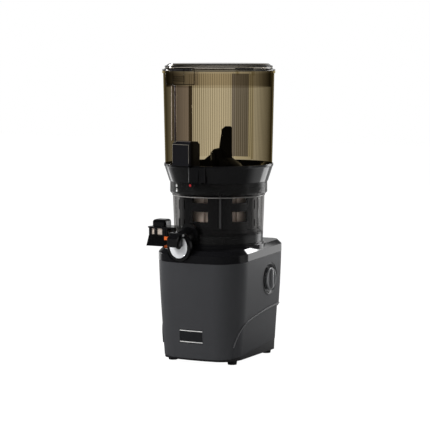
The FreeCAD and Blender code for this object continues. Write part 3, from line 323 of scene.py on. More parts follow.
@dataclass(frozen=True)
class Moulded(Finish):
    """Plastic, rubber or paint with a moulded texture.

    Attributes:
        color: Mean colour.
        roughness: Mean roughness.
        mottle: Share by which the colour varies.
        grain: Texture cells per metre.
        depth: Strength of the texture's relief.
        smear: Range of the roughness over the surface.
        rounding: Radius of the eased edges.
        metal: Metallic share.
        gleam: Strength of the surface's mirror.
        clouds: Cells per metre of the wide mottle.
        cloud_share: Share of the wide mottle in the colour.
    """

    color: Color
    roughness: float
    mottle: float = 0.12
    grain: float = 2400.0
    depth: float = 0.12
    smear: float = 0.08
    rounding: float = 0.0007
    metal: float = 0.0
    gleam: float = 0.5
    clouds: float = 28.0
    cloud_share: float = 0.55

    def paint(self, graph: Graph) -> None:
        """Adds the nodes of a mottled, textured plastic.

        Args:
            graph: The material's graph.
        """
        cloud = graph.noise(self.clouds, RICH)
        fine = graph.noise(self.grain)
        color = graph.blend(cloud * self.cloud_share + fine * (1.0 - self.cloud_share),
                            scaled(self.color, 1.0 - self.mottle),
                            scaled(self.color, 1.0 + self.mottle))
        rough = self.roughness + cloud.swing(self.smear) + fine.swing(self.smear * 0.5)
        normal = graph.relief(fine, self.depth, RELIEF_DEPTH, self.rounding)
        graph.surface(graph.node("ShaderNodeBsdfPrincipled", {}, {
            "Base Color": color, "Roughness": rough.clamped(), "Normal": normal,
            "Metallic": self.metal, "Specular IOR Level": self.gleam}))


@dataclass(frozen=True)
class Smoke(Finish):
    """Clear tinted plastic that darkens with its thickness.

    Attributes:
        film: Colour that one surface lets through.
        rim: Share of that colour let through at a glancing angle.
        body: Colour of the plastic where it is opaque.
        absorb: Colour that the thickness lets through.
        density: How fast the thickness darkens, per metre.
        shine: Strength of the surface's mirror.
        solid_below: Height under which the moulding is nearly opaque.
        dark_above: Height over which the moulding is partly opaque.
        bare_beyond: Distance from the drive axis past which the surface is clear.
        shine_above: Height over which the surface mirrors.
        fade: Height over which it turns from nearly opaque to clear.
        solid_share: How opaque the nearly opaque part is.
        dark_share: How opaque the partly opaque part is.
        clouds: Cells per metre of the mottle.
        streak: Range of the mottle in the clear film.
        haze_tones: Darkest and palest tone of the opaque part as shares of its colour.
        haze_rough: Mean and range of the opaque part's roughness.
        haze_gleam: Strength of the opaque part's mirror.
        mirror_rough: Least and added roughness of the mirror.
    """

    film: Color
    rim: float
    body: Color
    absorb: Color
    density: float
    shine: float = 1.0
    solid_below: float = -1.0
    dark_above: float = 9.0
    bare_beyond: float = 9.0
    shine_above: float = -1.0
    fade: float = 0.006
    solid_share: float = 0.85
    dark_share: float = 0.6
    clouds: float = 22.0
    streak: float = 0.04
    haze_tones: Pair = (0.8, 1.2)
    haze_rough: Pair = (0.25, 0.1)
    haze_gleam: float = 0.3
    mirror_rough: Pair = (0.03, 0.03)

    def paint(self, graph: Graph) -> None:
        """Adds the nodes of a clear film with a mirror and opaque areas.

        Args:
            graph: The material's graph.
        """
        cloud = graph.noise(self.clouds, RICH)
        facing = graph.node("ShaderNodeLayerWeight", {}, {"Blend": 0.5}).out("Facing")
        height = graph.along(2)
        span = (self.solid_below, self.solid_below + self.fade)
        low = graph.ramp(height, span, (1.0, 0.0), smooth=False)
        share = low * self.solid_share + height.over(self.dark_above) * self.dark_share
        tint = graph.mix((facing + cloud.swing(self.streak)).clamped(), graph.film(self.film),
                         graph.film(scaled(self.film, self.rim)))
        level = graph.node("ShaderNodeMapping", {}, {
            "Vector": graph.place(), "Location": -AXIS_FOOT, "Scale": (1.0, 1.0, 0.0)}).out()
        away = graph.node("ShaderNodeVectorMath", {"operation": "LENGTH"}, {0: level}).out("Value")
        tint = graph.mix(away.over(self.bare_beyond), tint, graph.film(BARE_FILM))
        tones = [scaled(self.body, tone) for tone in self.haze_tones]
        haze = graph.node("ShaderNodeBsdfPrincipled", {}, {
            "Base Color": graph.blend(cloud, *tones),
            "Roughness": self.haze_rough[0] + cloud.swing(self.haze_rough[1]),
            "Specular IOR Level": self.haze_gleam})
        mirror = graph.node("ShaderNodeBsdfGlossy", {}, {
            "Color": WHITE, "Roughness": self.mirror_rough[0] + cloud * self.mirror_rough[1]})
        fresnel = BASE_MIRROR + facing ** MIRROR_POWER * (1.0 - BASE_MIRROR)
        gloss = fresnel * height.over(self.shine_above) * self.shine
        mixed = graph.mix(gloss.clamped(), graph.mix(share.clamped(), tint, haze), mirror)
        inside = graph.node("ShaderNodeVolumeAbsorption", {},
                            {"Color": (*self.absorb, 1.0), "Density": self.density})
        graph.surface(mixed, inside)


@dataclass(frozen=True)
class TwoTone(Finish):
    """Two moulded colours that meet at one plane.

    Attributes:
        lower: Colour below the joint.
        upper: Colour above it.
        joint: Place of the joint along its axis.
        roughness: Mean roughness.
        axis: Index of that axis.
        rounding: Radius of the eased edges.
        grain: Texture cells per metre.
        depth: Strength of the texture's relief.
        smear: Range of the roughness over the surface.
        waver: How unevenly the colours meet.
    """

    lower: Color
    upper: Color
    joint: float
    roughness: float
    axis: int = 2
    rounding: float = 0.0005
    grain: float = 1200.0
    depth: float = 0.06
    smear: float = 0.1
    waver: float = 0.0003

    def paint(self, graph: Graph) -> None:
        """Adds the nodes of two plastics with a slightly uneven joint.

        Args:
            graph: The material's graph.
        """
        fine = graph.noise(self.grain)
        above = (graph.along(self.axis) + fine.swing(self.waver)).over(self.joint)
        graph.surface(graph.node("ShaderNodeBsdfPrincipled", {}, {
            "Base Color": graph.blend(above, self.lower, self.upper),
            "Roughness": self.roughness + fine.swing(self.smear),
            "Normal": graph.relief(fine, self.depth, RELIEF_DEPTH, self.rounding)}))


@dataclass(frozen=True)
class Metal(Finish):
    """Bare metal with brushed or turned lines.

    Attributes:
        color: Mean colour.
        roughness: Mean roughness.
        stretch: Scale of the lines along each axis.
        depth: Strength of the lines' relief.
        rounding: Radius of the eased edges.
        grain: Lines per metre.
        clouds: Cells per metre of the wide mottle.
        line_share: Share of the lines in the colour.
        tones: Darkest and palest tone as shares of the colour.
        smears: Range of the roughness by the lines and by the mottle.
    """

    color: Color
    roughness: float
    stretch: Size = (1.0, 1.0, 0.05)
    depth: float = 0.08
    rounding: float = 0.0004
    grain: float = 1800.0
    clouds: float = 60.0
    line_share: float = 0.6
    tones: Pair = (0.9, 1.08)
    smears: Pair = (0.12, 0.08)

    def paint(self, graph: Graph) -> None:
        """Adds the nodes of a lined metal.

        Args:
            graph: The material's graph.
        """
        lines = graph.noise(self.grain, RICH, self.stretch)
        cloud = graph.noise(self.clouds)
        rough = self.roughness + lines.swing(self.smears[0]) + cloud.swing(self.smears[1])
        color = graph.blend(lines * self.line_share + cloud * (1.0 - self.line_share),
                            *(scaled(self.color, tone) for tone in self.tones))
        graph.surface(graph.node("ShaderNodeBsdfPrincipled", {}, {
            "Base Color": color, "Metallic": 1.0, "Roughness": rough.clamped(),
            "Normal": graph.relief(lines, self.depth, RELIEF_DEPTH / 2.0, self.rounding)}))


@dataclass(frozen=True)
class Sieve(Finish):
    """Thin metal wall with fine rows of holes round the drive axis.

    Attributes:
        color: Colour of the metal.
        hole: Colour seen in a hole.
        radius: Radius of the wall.
        pitch: Distance between holes.
        hole_share: Radius of a hole as a share of the pitch.
        roughness: Mean roughness of the metal.
        rounding: Radius of the eased edges.
        clouds: Cells per metre of the mottle.
        smear: Range of the roughness.
        depth: Strength of the holes' relief.
        metal: Metallic share.
    """

    color: Color
    hole: Color
    radius: float
    pitch: float
    hole_share: float = 0.3
    roughness: float = 0.4
    rounding: float = 0.0003
    clouds: float = 40.0
    smear: float = 0.2
    depth: float = 0.3
    metal: float = 0.15

    def paint(self, graph: Graph) -> None:
        """Adds the nodes of a wall with staggered holes.

        Args:
            graph: The material's graph.
        """
        x = graph.along(0) - AXIS.x
        y = graph.along(1) - AXIS.y
        up = graph.along(2) * (1.0 / self.pitch)
        across = x.math("ARCTAN2", y, x) * (self.radius / self.pitch) + up.math("FLOOR", up) * 0.5
        du = across.math("FRACT", across) - 0.5
        dv = up.math("FRACT", up) - 0.5
        away = (du * du + dv * dv) ** 0.5
        mask = away.math("LESS_THAN", away, self.hole_share)
        rough = self.roughness + graph.noise(self.clouds, RICH).swing(self.smear)
        graph.surface(graph.node("ShaderNodeBsdfPrincipled", {}, {
            "Base Color": graph.blend(mask, self.color, self.hole), "Metallic": self.metal,
            "Roughness": rough.clamped(),
            "Normal": graph.relief(1.0 - mask, self.depth, RELIEF_DEPTH, self.rounding)}))


def middle(node: str) -> Vector:
    """Middle of a node's box."""
    low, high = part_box(node)
    return (low + high) / 2.0


AXIS = middle("strainer_mesh")
AXIS_FOOT = Vector((AXIS.x, AXIS.y, 0.0))
ON_AXIS = Matrix.Translation(AXIS_FOOT)
# Height of the drum's lock ring, and depth of the knob's grip in front of its face.
RING_HEIGHT, GRIP_DEPTH = 0.0195, 0.0085
DRUM_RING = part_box("drum")[1].z - RING_HEIGHT
KNOB_FACE_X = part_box("control_knob")[1].x - GRIP_DEPTH
# Height where the gate's orange tab meets its black flap.
GATE_JOINT = 0.2035
# What the clear walls away from the drive axis let through.
BARE_FILM = (0.97, 0.965, 0.95)
SIEVE_RADIUS = (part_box("strainer_mesh")[1].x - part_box("strainer_mesh")[0].x) / 2.0


class Look(Enum):
    """The finishes of the juicer."""

    SHELL = Moulded((0.052, 0.053, 0.057), 0.48, mottle=0.10, grain=2600.0, depth=0.14, smear=0.06,
                    rounding=0.0012, gleam=0.2)
    UNDERSIDE = Moulded((0.009, 0.009, 0.010), 0.5, rounding=0.0008)
    DECK = Moulded((0.0065, 0.0065, 0.0075), 0.07, depth=0.008, smear=0.04, rounding=0.0010,
                   gleam=0.2)
    GLOSS = Moulded((0.004, 0.004, 0.0045), 0.12, depth=0.012, smear=0.05, rounding=0.0010)
    KNOB = Moulded((0.007, 0.007, 0.008), 0.2, depth=0.03, rounding=0.0008)
    BEZEL = Moulded((0.040, 0.0405, 0.043), 0.4, depth=0.12, rounding=0.0008)
    BADGE = Moulded((0.012, 0.0125, 0.014), 0.3, depth=0.06, rounding=0.0004)
    RUBBER = Moulded((0.012, 0.012, 0.012), 0.72, grain=1500.0, depth=0.2, rounding=0.0008)
    GASKET = Moulded((0.008, 0.008, 0.009), 0.55, grain=1500.0, depth=0.1)
    SILICONE = Moulded((0.10, 0.10, 0.105), 0.5, grain=1200.0, depth=0.1)
    ORANGE = Moulded((0.86, 0.17, 0.025), 0.42, mottle=0.08, grain=1200.0, depth=0.08,
                     rounding=0.0005)
    RED = Moulded((0.62, 0.02, 0.025), 0.35, mottle=0.06, depth=0.03)
    PRINT = Moulded((0.82, 0.82, 0.80), 0.45, mottle=0.05, depth=0.03, rounding=0.0001)
    NYLON = Moulded((0.74, 0.71, 0.64), 0.45, mottle=0.06, depth=0.08)
    CASTING = Moulded((0.22, 0.225, 0.235), 0.5, grain=1400.0, depth=0.2)
    IRON = Moulded((0.20, 0.20, 0.21), 0.45, grain=1800.0, depth=0.15, metal=0.9)
    BOARD = Moulded((0.03, 0.17, 0.07), 0.38, mottle=0.18, grain=900.0, depth=0.06)
    FRAME = Moulded((0.010, 0.010, 0.011), 0.25, depth=0.03, rounding=0.0006)
    SMOKE_HOPPER = Smoke((0.865, 0.83, 0.755), 0.48, (0.020, 0.016, 0.010), (0.50, 0.42, 0.14),
                         60.0, 0.0, bare_beyond=0.0955)
    SMOKE_LID = Smoke((0.92, 0.905, 0.88), 0.68, (0.020, 0.016, 0.012), (0.45, 0.40, 0.30),
                      40.0, 0.8, shine_above=0.4885)
    SMOKE_LATCH = Smoke((0.95, 0.94, 0.95), 0.6, (0.020, 0.016, 0.012), (0.45, 0.42, 0.42),
                        15.0, 0.15)
    SMOKE_DRUM = Smoke((0.98, 0.975, 0.97), 0.46, (0.013, 0.013, 0.013), (0.35, 0.30, 0.27),
                       10.0, 0.12, solid_below=0.212, dark_above=DRUM_RING)
    SMOKE_CHUTE = Smoke((0.95, 0.93, 0.90), 0.8, (0.012, 0.011, 0.010), (0.35, 0.30, 0.27),
                        20.0, 0.3)
    SMOKE_RIB = Smoke((0.80, 0.77, 0.70), 0.5, (0.030, 0.026, 0.018), (0.4, 0.3, 0.1), 60.0, 0.0)
    SMOKE_PANEL = Smoke((0.84, 0.81, 0.88), 0.6, (0.040, 0.034, 0.032), (0.4, 0.35, 0.3), 30.0, 0.0)
    SMOKE_SPINE = Smoke((0.70, 0.70, 0.76), 0.6, (0.040, 0.034, 0.032), (0.4, 0.35, 0.3), 30.0, 0.0)
    # Dark smoke for the lid's rings and the latch's frame: painted shade for the dark lines along
    # the clear lid's and latch's edges.
    SMOKE_BEAD = Smoke((0.16, 0.15, 0.14), 0.3, (0.010, 0.009, 0.008), (0.4, 0.35, 0.3), 60.0, 0.5)
    SMOKE_EDGE = Smoke((0.50, 0.47, 0.45), 0.4, (0.020, 0.017, 0.015), (0.4, 0.35, 0.3), 60.0, 0.6)
    CASE = Moulded((0.013, 0.0135, 0.019), 0.3, depth=0.02, gleam=0.15)
    # Paler grey than the shell: a painted highlight along the lit edges of the grip recesses.
    LIP = Moulded((0.105, 0.106, 0.111), 0.42, rounding=0.0004)
    # Pale grey for thin strips painted as highlights: the glint line under the drum's shoulder and
    # the glints along the interlock block's edges.
    BEAD = Moulded((0.30, 0.29, 0.28), 0.2, depth=0.03)
    KNOB_FACE = TwoTone((0.005, 0.005, 0.006), (0.15, 0.152, 0.158), joint=KNOB_FACE_X,
                        roughness=0.35, axis=0)
    PANE = Moulded((0.60, 0.51, 0.44), 0.35, mottle=0.08, depth=0.03)
    BASKET = Moulded((0.66, 0.55, 0.47), 0.4, mottle=0.08, grain=1500.0, depth=0.1, metal=0.15)
    DISC = Moulded((0.88, 0.89, 0.91), 0.26, mottle=0.03, grain=1800.0, depth=0.02, metal=0.1)
    GATE = TwoTone((0.86, 0.16, 0.02), (0.006, 0.006, 0.007), joint=GATE_JOINT, roughness=0.4)
    STEEL = Metal((0.62, 0.62, 0.63), 0.3)
    GROUND = Metal((0.52, 0.52, 0.54), 0.24, (0.05, 0.05, 1.0))
    BRONZE = Metal((0.60, 0.40, 0.19), 0.35)
    SILVER = Metal((0.86, 0.87, 0.88), 0.12, (1.0, 1.0, 1.0), depth=0.02)
    SIEVE = Sieve((0.88, 0.74, 0.64), (0.45, 0.37, 0.31), SIEVE_RADIUS, 0.0011)


class Finishes:
    """The materials in use, each built once."""

    def __init__(self) -> None:
        """Starts with no material built."""
        self.made: Dict[Look, bpy.types.Material] = {}

    def get(self, look: Look) -> bpy.types.Material:
        """The material of a look.

        Args:
            look: The look wanted.

        Returns:
            Its material.
        """
        if look not in self.made:
            self.made[look] = look.value.material(look.name.lower())
        return self.made[look]

    def dress(self, look: Look, *nodes: str) -> None:
        """Gives carried-over solids their finish.

        Args:
            look: The finish.
            nodes: Names of the solids.
        """
        for name in nodes:
            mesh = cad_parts[name].data
            mesh.materials.clear()
            mesh.materials.append(self.get(look))
            log.info("%s: %s", name, look.name)


FINISHES = Finishes()


def solid_mesh(node: str) -> bmesh.types.BMesh:
    """Copies a carried-over solid's mesh and joins its corners.

    Args:
        node: The solid's name.

    Returns:
        The copy.
    """
    mesh = bmesh.new()
    mesh.from_mesh(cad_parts[node].data)
    bmesh.ops.remove_doubles(mesh, verts=mesh.verts, dist=JOIN)
    return mesh


def edges_of(corners: Sequence[bmesh.types.BMVert]) -> List[bmesh.types.BMEdge]:
    """The edges that meet at some corners."""
    return list({edge for corner in corners for edge in corner.link_edges})


def band(inner: float, outer: float, low: float, high: float) -> List[Pair]:
    """Square profile of a ring, from its radii and heights."""
    return [(inner, low), (outer, low), (outer, high), (inner, high)]


def added(name: str, data: bpy.types.ID) -> bpy.types.Object:
    """Adds an object to the scene.

    Args:
        name: The object's name.
        data: Its mesh, lamp or camera.

    Returns:
        The object.
    """
    made = bpy.data.objects.new(name, data)
    bpy.context.scene.collection.objects.link(made)
    return made


class Form:
    """A mesh under construction that ends as one finished piece."""

    def __init__(self) -> None:
        """Starts an empty mesh."""
        self.mesh = bmesh.new()

    def lathe(self, profile: Sequence[Pair], place: Matrix, steps: int = WIDE_STEPS) -> None:
        """Spins a closed profile of (radius, height) round the place's own Z axis.

        Args:
            profile: The profile's corners.
            place: Where the axis stands.
            steps: Faces round the axis.
        """
        corners = [self.mesh.verts.new((radius, 0.0, height)) for radius, height in profile]
        edges = [self.mesh.edges.new(pair) for pair in zip(corners, corners[1:] + corners[:1])]
        before = set(self.mesh.verts) - set(corners)
        bmesh.ops.spin(self.mesh, geom=corners + edges, cent=(0, 0, 0), axis=(0, 0, 1),
                       dvec=(0, 0, 0), angle=2.0 * math.pi, steps=steps,
                       use_merge=True, use_duplicate=False)
        fresh = [v for v in self.mesh.verts if v not in before]
        bmesh.ops.transform(self.mesh, matrix=place, verts=fresh)

    def round_off(self, edges: List[bmesh.types.BMEdge], ease: float) -> None:
        """Rounds edges to a radius."""
        bmesh.ops.bevel(self.mesh, geom=edges, offset=ease, offset_type="OFFSET", affect="EDGES",
                        segments=EASE_STEPS, profile=0.5, material=-1)

    def bar(self, size: Size, place: Matrix, ease: float = EASE) -> None:
        """Adds a bar with rounded edges.

        Args:
            size: Length along each of the place's axes.
            place: Its middle and turn.
            ease: Radius of its edges.
        """
        shape = place @ Matrix.Diagonal((*size, 1.0))
        made = bmesh.ops.create_cube(self.mesh, size=1.0, matrix=shape)
        self.round_off(edges_of(made["verts"]), ease)

    def stud(self, radius: float, height: float, place: Matrix, ease: float) -> None:
        """Adds a round stud with eased rims.

        Args:
            radius: The stud's radius.
            height: Its height along the place's Z axis.
            place: Its middle and turn.
            ease: Radius of its rims.
        """
        made = bmesh.ops.create_cone(self.mesh, cap_ends=True, segments=SMALL_STEPS, radius1=radius,
                                     radius2=radius, depth=height, matrix=place)
        rims = [edge for edge in edges_of(made["verts"])
                if any(len(face.verts) > 4 for face in edge.link_faces)]
        self.round_off(rims, ease)

    def coil(self, radius: float, wire: float, rise: float, turns: int, place: Matrix) -> None:
        """Winds a round wire up the place's own Z axis.

        Args:
            radius: Radius of the coil at the wire's middle.
            wire: Radius of the wire.
            rise: Height that the wire climbs.
            turns: Number of turns.
            place: Foot of the coil.
        """
        steps = COIL_STEPS * turns
        end = Matrix.Translation((radius, 0.0, 0.0)) @ FACE_ON
        made = bmesh.ops.create_circle(self.mesh, segments=WIRE_SIDES, radius=wire, matrix=end)
        ring = made["verts"]
        bmesh.ops.spin(self.mesh, geom=ring + edges_of(ring), cent=(0, 0, 0), axis=(0, 0, 1),
                       dvec=(0, 0, rise / steps), angle=2.0 * math.pi * turns, steps=steps,
                       use_merge=False, use_duplicate=False)
        ends = [edge for edge in self.mesh.edges if edge.is_boundary]
        bmesh.ops.holes_fill(self.mesh, edges=ends)
        bmesh.ops.transform(self.mesh, matrix=place, verts=self.mesh.verts)

    def piece(self, name: str, body: str, look: Look) -> bpy.types.Object:
        """Finishes the mesh as a piece that rides on a body.

        Args:
            name: The piece's name.
            body: The body that carries it.
            look: Its finish.

        Returns:
            The piece.
        """
        bmesh.ops.remove_doubles(self.mesh, verts=self.mesh.verts, dist=JOIN)
        bmesh.ops.recalc_face_normals(self.mesh, faces=self.mesh.faces)
        for face in self.mesh.faces:
            face.smooth = True
        data = bpy.data.meshes.new(name)
        self.mesh.to_mesh(data)
        self.mesh.free()
        data.set_sharp_from_angle(angle=SHARP_ANGLE)
        data.materials.append(FINISHES.get(look))
        made = added(name, data)
        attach(made, body)
        log.info("%s: %d faces on %s", name, len(data.polygons), body)
        return made


def around(angle: float, out: float, height: float, across: float = 0.0) -> Matrix:
    """Place at an angle round the drive axis.

    Args:
        angle: Degrees from the front towards +X.
        out: Distance from the drive axis.
        height: Height above the floor.
        across: Distance to the right, seen from that angle.

    Returns:
        A place whose Y axis points back to the drive axis.
    """
    turn = Matrix.Rotation(math.radians(angle), 4, "Z")
    return ON_AXIS @ turn @ Matrix.Translation((across, -out, height))


def headed(across: float, out: float, height: float) -> Matrix:
    """Place on the head's own axes: across, outwards along the spout, and up."""
    return around(HEAD_ANGLE, out, height, across)


@dataclass
class BaseHousing:
    """The motor base: shell, deck, feet and the works inside.

    Attributes:
        rule_height: Height of the two trim lines of the blank plate.
        rule_inset: Distance of a trim line from the plate's edge.
        rule_rise: How far a trim line stands out.
        foot_radius: Radius of a foot.
        tread_radii: Inner radius of each tread ring under a foot.
        tread_width: Width of a tread ring.
        tread_rise: Height of a tread ring.
        lip_width: Width of the lip along a grip recess.
        lip_thick: Thickness of that lip.
        lip_overlap: How far its lengths reach into each other.
        lip_band: Its lowest and highest place.
        lip_out: Its least distance from the middle of the base.
        lip_turn: Least angle of an edge that gets a lip.
    """

    rule_height: float = 0.0013
    rule_inset: float = 0.0012
    rule_rise: float = 0.00015
    foot_radius: float = 0.0086
    tread_radii: Pair = (0.0030, 0.0056)
    tread_width: float = 0.0010
    tread_rise: float = 0.0006
    lip_width: float = 0.0042
    lip_thick: float = 0.0010
    lip_overlap: float = 0.0004
    lip_band: Pair = (0.030, 0.0895)
    lip_out: float = 0.066
    lip_turn: float = 0.6

    def build(self) -> None:
        """Dresses the base and adds its details."""
        FINISHES.dress(Look.SHELL, "body_shell")
        FINISHES.dress(Look.DECK, "deck")
        FINISHES.dress(Look.UNDERSIDE, "bottom_cover", "rotary_switch")
        FINISHES.dress(Look.BADGE, "badge_plate")
        FINISHES.dress(Look.RUBBER, "rubber_feet", "cord_gland")
        FINISHES.dress(Look.STEEL, "motor_can", "base_screws")
        FINISHES.dress(Look.IRON, "motor_stator", "motor_rotor")
        FINISHES.dress(Look.CASTING, "gearbox_housing", "gearbox_cover", "cooling_fan")
        FINISHES.dress(Look.BRONZE, "output_bushing")
        FINISHES.dress(Look.GASKET, "shaft_seal")
        FINISHES.dress(Look.BOARD, "control_board")
        FINISHES.dress(Look.GROUND, "motor_pinion", "layshaft", "second_pinion", "drive_shaft")
        FINISHES.dress(Look.NYLON, "first_wheel", "output_wheel")
        self.trim_lines()
        self.foot_treads()
        self.grip_lips()

    def trim_lines(self) -> None:
        """Two bright lines along the upper and lower edge of the blank plate."""
        low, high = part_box("badge_plate")
        form = Form()
        source = solid_mesh("badge_plate")
        for start in (low.z + self.rule_inset, high.z - self.rule_inset - self.rule_height):
            strip = source.copy()
            for height, normal in ((start, (0, 0, -1)), (start + self.rule_height, (0, 0, 1))):
                every = strip.verts[:] + strip.edges[:] + strip.faces[:]
                bmesh.ops.bisect_plane(strip, geom=every, dist=CUT_JOIN, plane_co=(0, 0, height),
                                       plane_no=normal, clear_outer=True)
            bmesh.ops.holes_fill(strip, edges=[edge for edge in strip.edges if edge.is_boundary])
            bmesh.ops.translate(strip, vec=(0.0, -self.rule_rise, 0.0), verts=strip.verts)
            holder = bpy.data.meshes.new("strip")
            strip.to_mesh(holder)
            strip.free()
            form.mesh.from_mesh(holder)
            bpy.data.meshes.remove(holder)
        source.free()
        form.piece("badge_lines", "base", Look.PRINT)

    def grip_lips(self) -> None:
        """Rounded lips along the curved edges of the two grip recesses, painted paler than the
        shell as a painted highlight of the lit recess edge.
        """
        source = solid_mesh("body_shell")
        bmesh.ops.recalc_face_normals(source, faces=source.faces)
        form = Form()
        low, high = self.lip_band
        for edge in source.edges:
            if (len(edge.link_faces) != 2 or not edge.is_convex
                    or edge.calc_face_angle() < self.lip_turn):
                continue
            start, end = (vertex.co for vertex in edge.verts)
            centre = (start + end) / 2.0
            if not low < centre.z < high or abs(centre.x - AXIS.x) < self.lip_out:
                continue
            along = (end - start).normalized()
            out = (edge.link_faces[0].normal + edge.link_faces[1].normal).normalized()
            if out.x * (centre.x - AXIS.x) < 0.0:
                continue
            side = along.cross(out).normalized()
            place = Matrix((along, side, out)).transposed().to_4x4()
            place.translation = centre
            length = (end - start).length + self.lip_overlap
            form.bar((length, self.lip_width, self.lip_thick), place, EASE_WIDE)
        source.free()
        # The lips' paler grey is a painted highlight, not a colour of the shell.
        form.piece("grip_lips", "base", Look.LIP)

    def foot_treads(self) -> None:
        """Raised rings on the sole of each foot."""
        low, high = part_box("rubber_feet")
        form = Form()
        for x in (low.x + self.foot_radius, high.x - self.foot_radius):
            for y in (low.y + self.foot_radius, high.y - self.foot_radius):
                for radius in self.tread_radii:
                    ring = band(radius, radius + self.tread_width, 0.0, self.tread_rise)
                    form.lathe(ring, Matrix.Translation((x, y, 0.0)), SMALL_STEPS)
        form.piece("foot_treads", "base", Look.RUBBER)


@dataclass
class SpeedKnob:
    """The control knob in its dished bezel.

    Attributes:
        ridges: Grip ridges round the rim.
        ridge_size: Length, width and height of a ridge.
        ridge_sink: Depth of a ridge's middle in the rim.
        ridge_back: Distance of a ridge's middle from the knob's front.
        pointer_size: Depth, width and length of the pointer.
        pointer_sink: Depth of the pointer's middle in the front.
        pointer_rise: Height of its middle over the knob's middle.
    """

    ridges: int = 48
    ridge_size: Size = (0.0034, 0.0011, 0.0008)
    ridge_sink: float = 0.0002
    ridge_back: float = 0.0060
    pointer_size: Size = (0.0006, 0.0012, 0.0065)
    pointer_sink: float = 0.0001
    pointer_rise: float = 0.0098

    def build(self) -> None:
        """Dresses the knob and adds its ridges and pointer."""
        FINISHES.dress(Look.KNOB_FACE, "control_knob")
        FINISHES.dress(Look.BEZEL, "knob_bezel")
        low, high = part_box("control_knob")
        centre = (low + high) / 2.0
        rim = Matrix.Translation((0.0, 0.0, (high.y - low.y) / 2.0 - self.ridge_sink))
        hub = Matrix.Translation((high.x - self.ridge_back, centre.y, centre.z))
        form = Form()
        for k in range(self.ridges):
            turn = Matrix.Rotation(2.0 * math.pi * k / self.ridges, 4, "X")
            form.bar(self.ridge_size, hub @ turn @ rim)
        form.piece("knob_ridges", "knob", Look.KNOB)
        form = Form()
        at = (high.x - self.pointer_sink, centre.y, centre.z + self.pointer_rise)
        form.bar(self.pointer_size, Matrix.Translation(at), EASE_FINE)
        form.piece("knob_pointer", "knob", Look.PRINT)


@dataclass
class JuicingDrum:
    """The drum with its strainer, wiper frame, auger and idler.

    Attributes:
        icon_angle: Place of the lock signs round the ring, in degrees.
        icon_out: Distance of the signs from the drive axis.
        icon_size: Width of a lock sign.
        icon_thick: Thickness of a sign.
        icon_drops: Distance of each sign below the drum's top, and how far its bow is lifted.
        lock_share: Height of a padlock's body as a share of its width.
        bow_shares: Inner and outer radius of its bow as shares of its width.
        icon_ease: Radius of a sign's edges.
        bead: Corners of the pale ring under the shoulder, as (radius, height); its pale grey is a
            painted highlight line.
    """

    icon_angle: float = -31.6
    icon_out: float = 0.0825
    icon_size: float = 0.0042
    icon_thick: float = 0.0004
    icon_drops: Tuple[Pair, ...] = ((0.0058, 0.0), (0.0142, 0.0011))
    lock_share: float = 0.72
    bow_shares: Pair = (0.26, 0.40)
    icon_ease: float = 0.00015
    bead: Tuple[Pair, ...] = (
        (0.0775, 0.2776), (0.0787, 0.2780), (0.0787, 0.2789), (0.0776, 0.2793))

    def build(self) -> None:
        """Dresses the drum and its contents and adds the lock signs and the shoulder's pale ring, a
        painted highlight line.
        """
        FINISHES.dress(Look.SMOKE_DRUM, "drum")
        FINISHES.dress(Look.FRAME, "brush_frame", "auger")
        FINISHES.dress(Look.BASKET, "strainer_frame")
        FINISHES.dress(Look.SIEVE, "strainer_mesh")
        FINISHES.dress(Look.SILICONE, "wiper_blades")
        FINISHES.dress(Look.GASKET, "drum_seal")
        FINISHES.dress(Look.NYLON, "idler_gear")
        FINISHES.dress(Look.RED, "lock_mark")
        self.lock_signs()
        # Pale ring under the shoulder: a painted highlight where the shoulder catches the light.
        form = Form()
        form.lathe(self.bead, ON_AXIS)
        form.piece("shoulder_bead", "drum", Look.BEAD)

    def lock_signs(self) -> None:
        """Two small printed padlocks on the lock ring, one shut and one open."""
        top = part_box("drum")[1].z
        wide, half = self.icon_size, self.icon_thick / 2.0
        tall = wide * self.lock_share
        inner, outer = (wide * share for share in self.bow_shares)
        form = Form()
        for drop, lift in self.icon_drops:
            place = around(self.icon_angle, self.icon_out, top - drop)
            form.bar((wide, self.icon_thick, tall), place, self.icon_ease)
            bow = place @ Matrix.Translation((0.0, 0.0, tall / 2.0 + lift)) @ FACE_ON
            form.lathe(band(inner, outer, -half, half), bow, BOW_STEPS)
        form.piece("lock_signs", "drum", Look.PRINT)


@dataclass
class JuiceSpout:
    """The spout, its round cap and the tap lever.

    Attributes:
        trim_radius: Radius of the bright ring round the disc.
        trim_width: Width of that ring.
        trim_heights: Heights of its foot, its shoulders and its crown.
        trim_out: Distance of the ring from the drive axis.
        pin_across: Distance of a head of the pin from the spout's line.
        pin_out: Distance of the pin from the drive axis.
        head_radius: Radius of a head.
        head_height: Height of a head.
    """

    trim_radius: float = 0.0200
    trim_width: float = 0.0007
    trim_heights: Size = (-0.0003, 0.0002, 0.0004)
    trim_out: float = 0.1044
    pin_across: float = 0.0143
    pin_out: float = 0.1082
    head_radius: float = 0.0022
    head_height: float = 0.0010

    def build(self) -> None:
        """Dresses the spout and adds the ring and the pin's heads."""
        FINISHES.dress(Look.GLOSS, "juice_spout", "juice_cap", "cap_lever")
        FINISHES.dress(Look.DISC, "cap_disc")
        FINISHES.dress(Look.STEEL, "lever_pin")
        FINISHES.dress(Look.GASKET, "cap_plug")
        foot, shoulder, crown = self.trim_heights
        inner, outer = self.trim_radius - self.trim_width, self.trim_radius
        ring = [(inner, foot), (outer, foot), (outer, shoulder),
                ((inner + outer) / 2.0, crown), (inner, shoulder)]
        form = Form()
        form.lathe(ring, headed(0.0, self.trim_out, middle("cap_disc").z) @ FACE_ON, RING_STEPS)
        form.piece("cap_trim", "drum", Look.SILVER)
        form = Form()
        for side in (-1, 1):
            place = headed(side * self.pin_across, self.pin_out, middle("lever_pin").z)
            form.stud(self.head_radius, self.head_height, place @ SIDEWAYS, EASE_WIDE)
        form.piece("pin_heads", "drum", Look.STEEL)


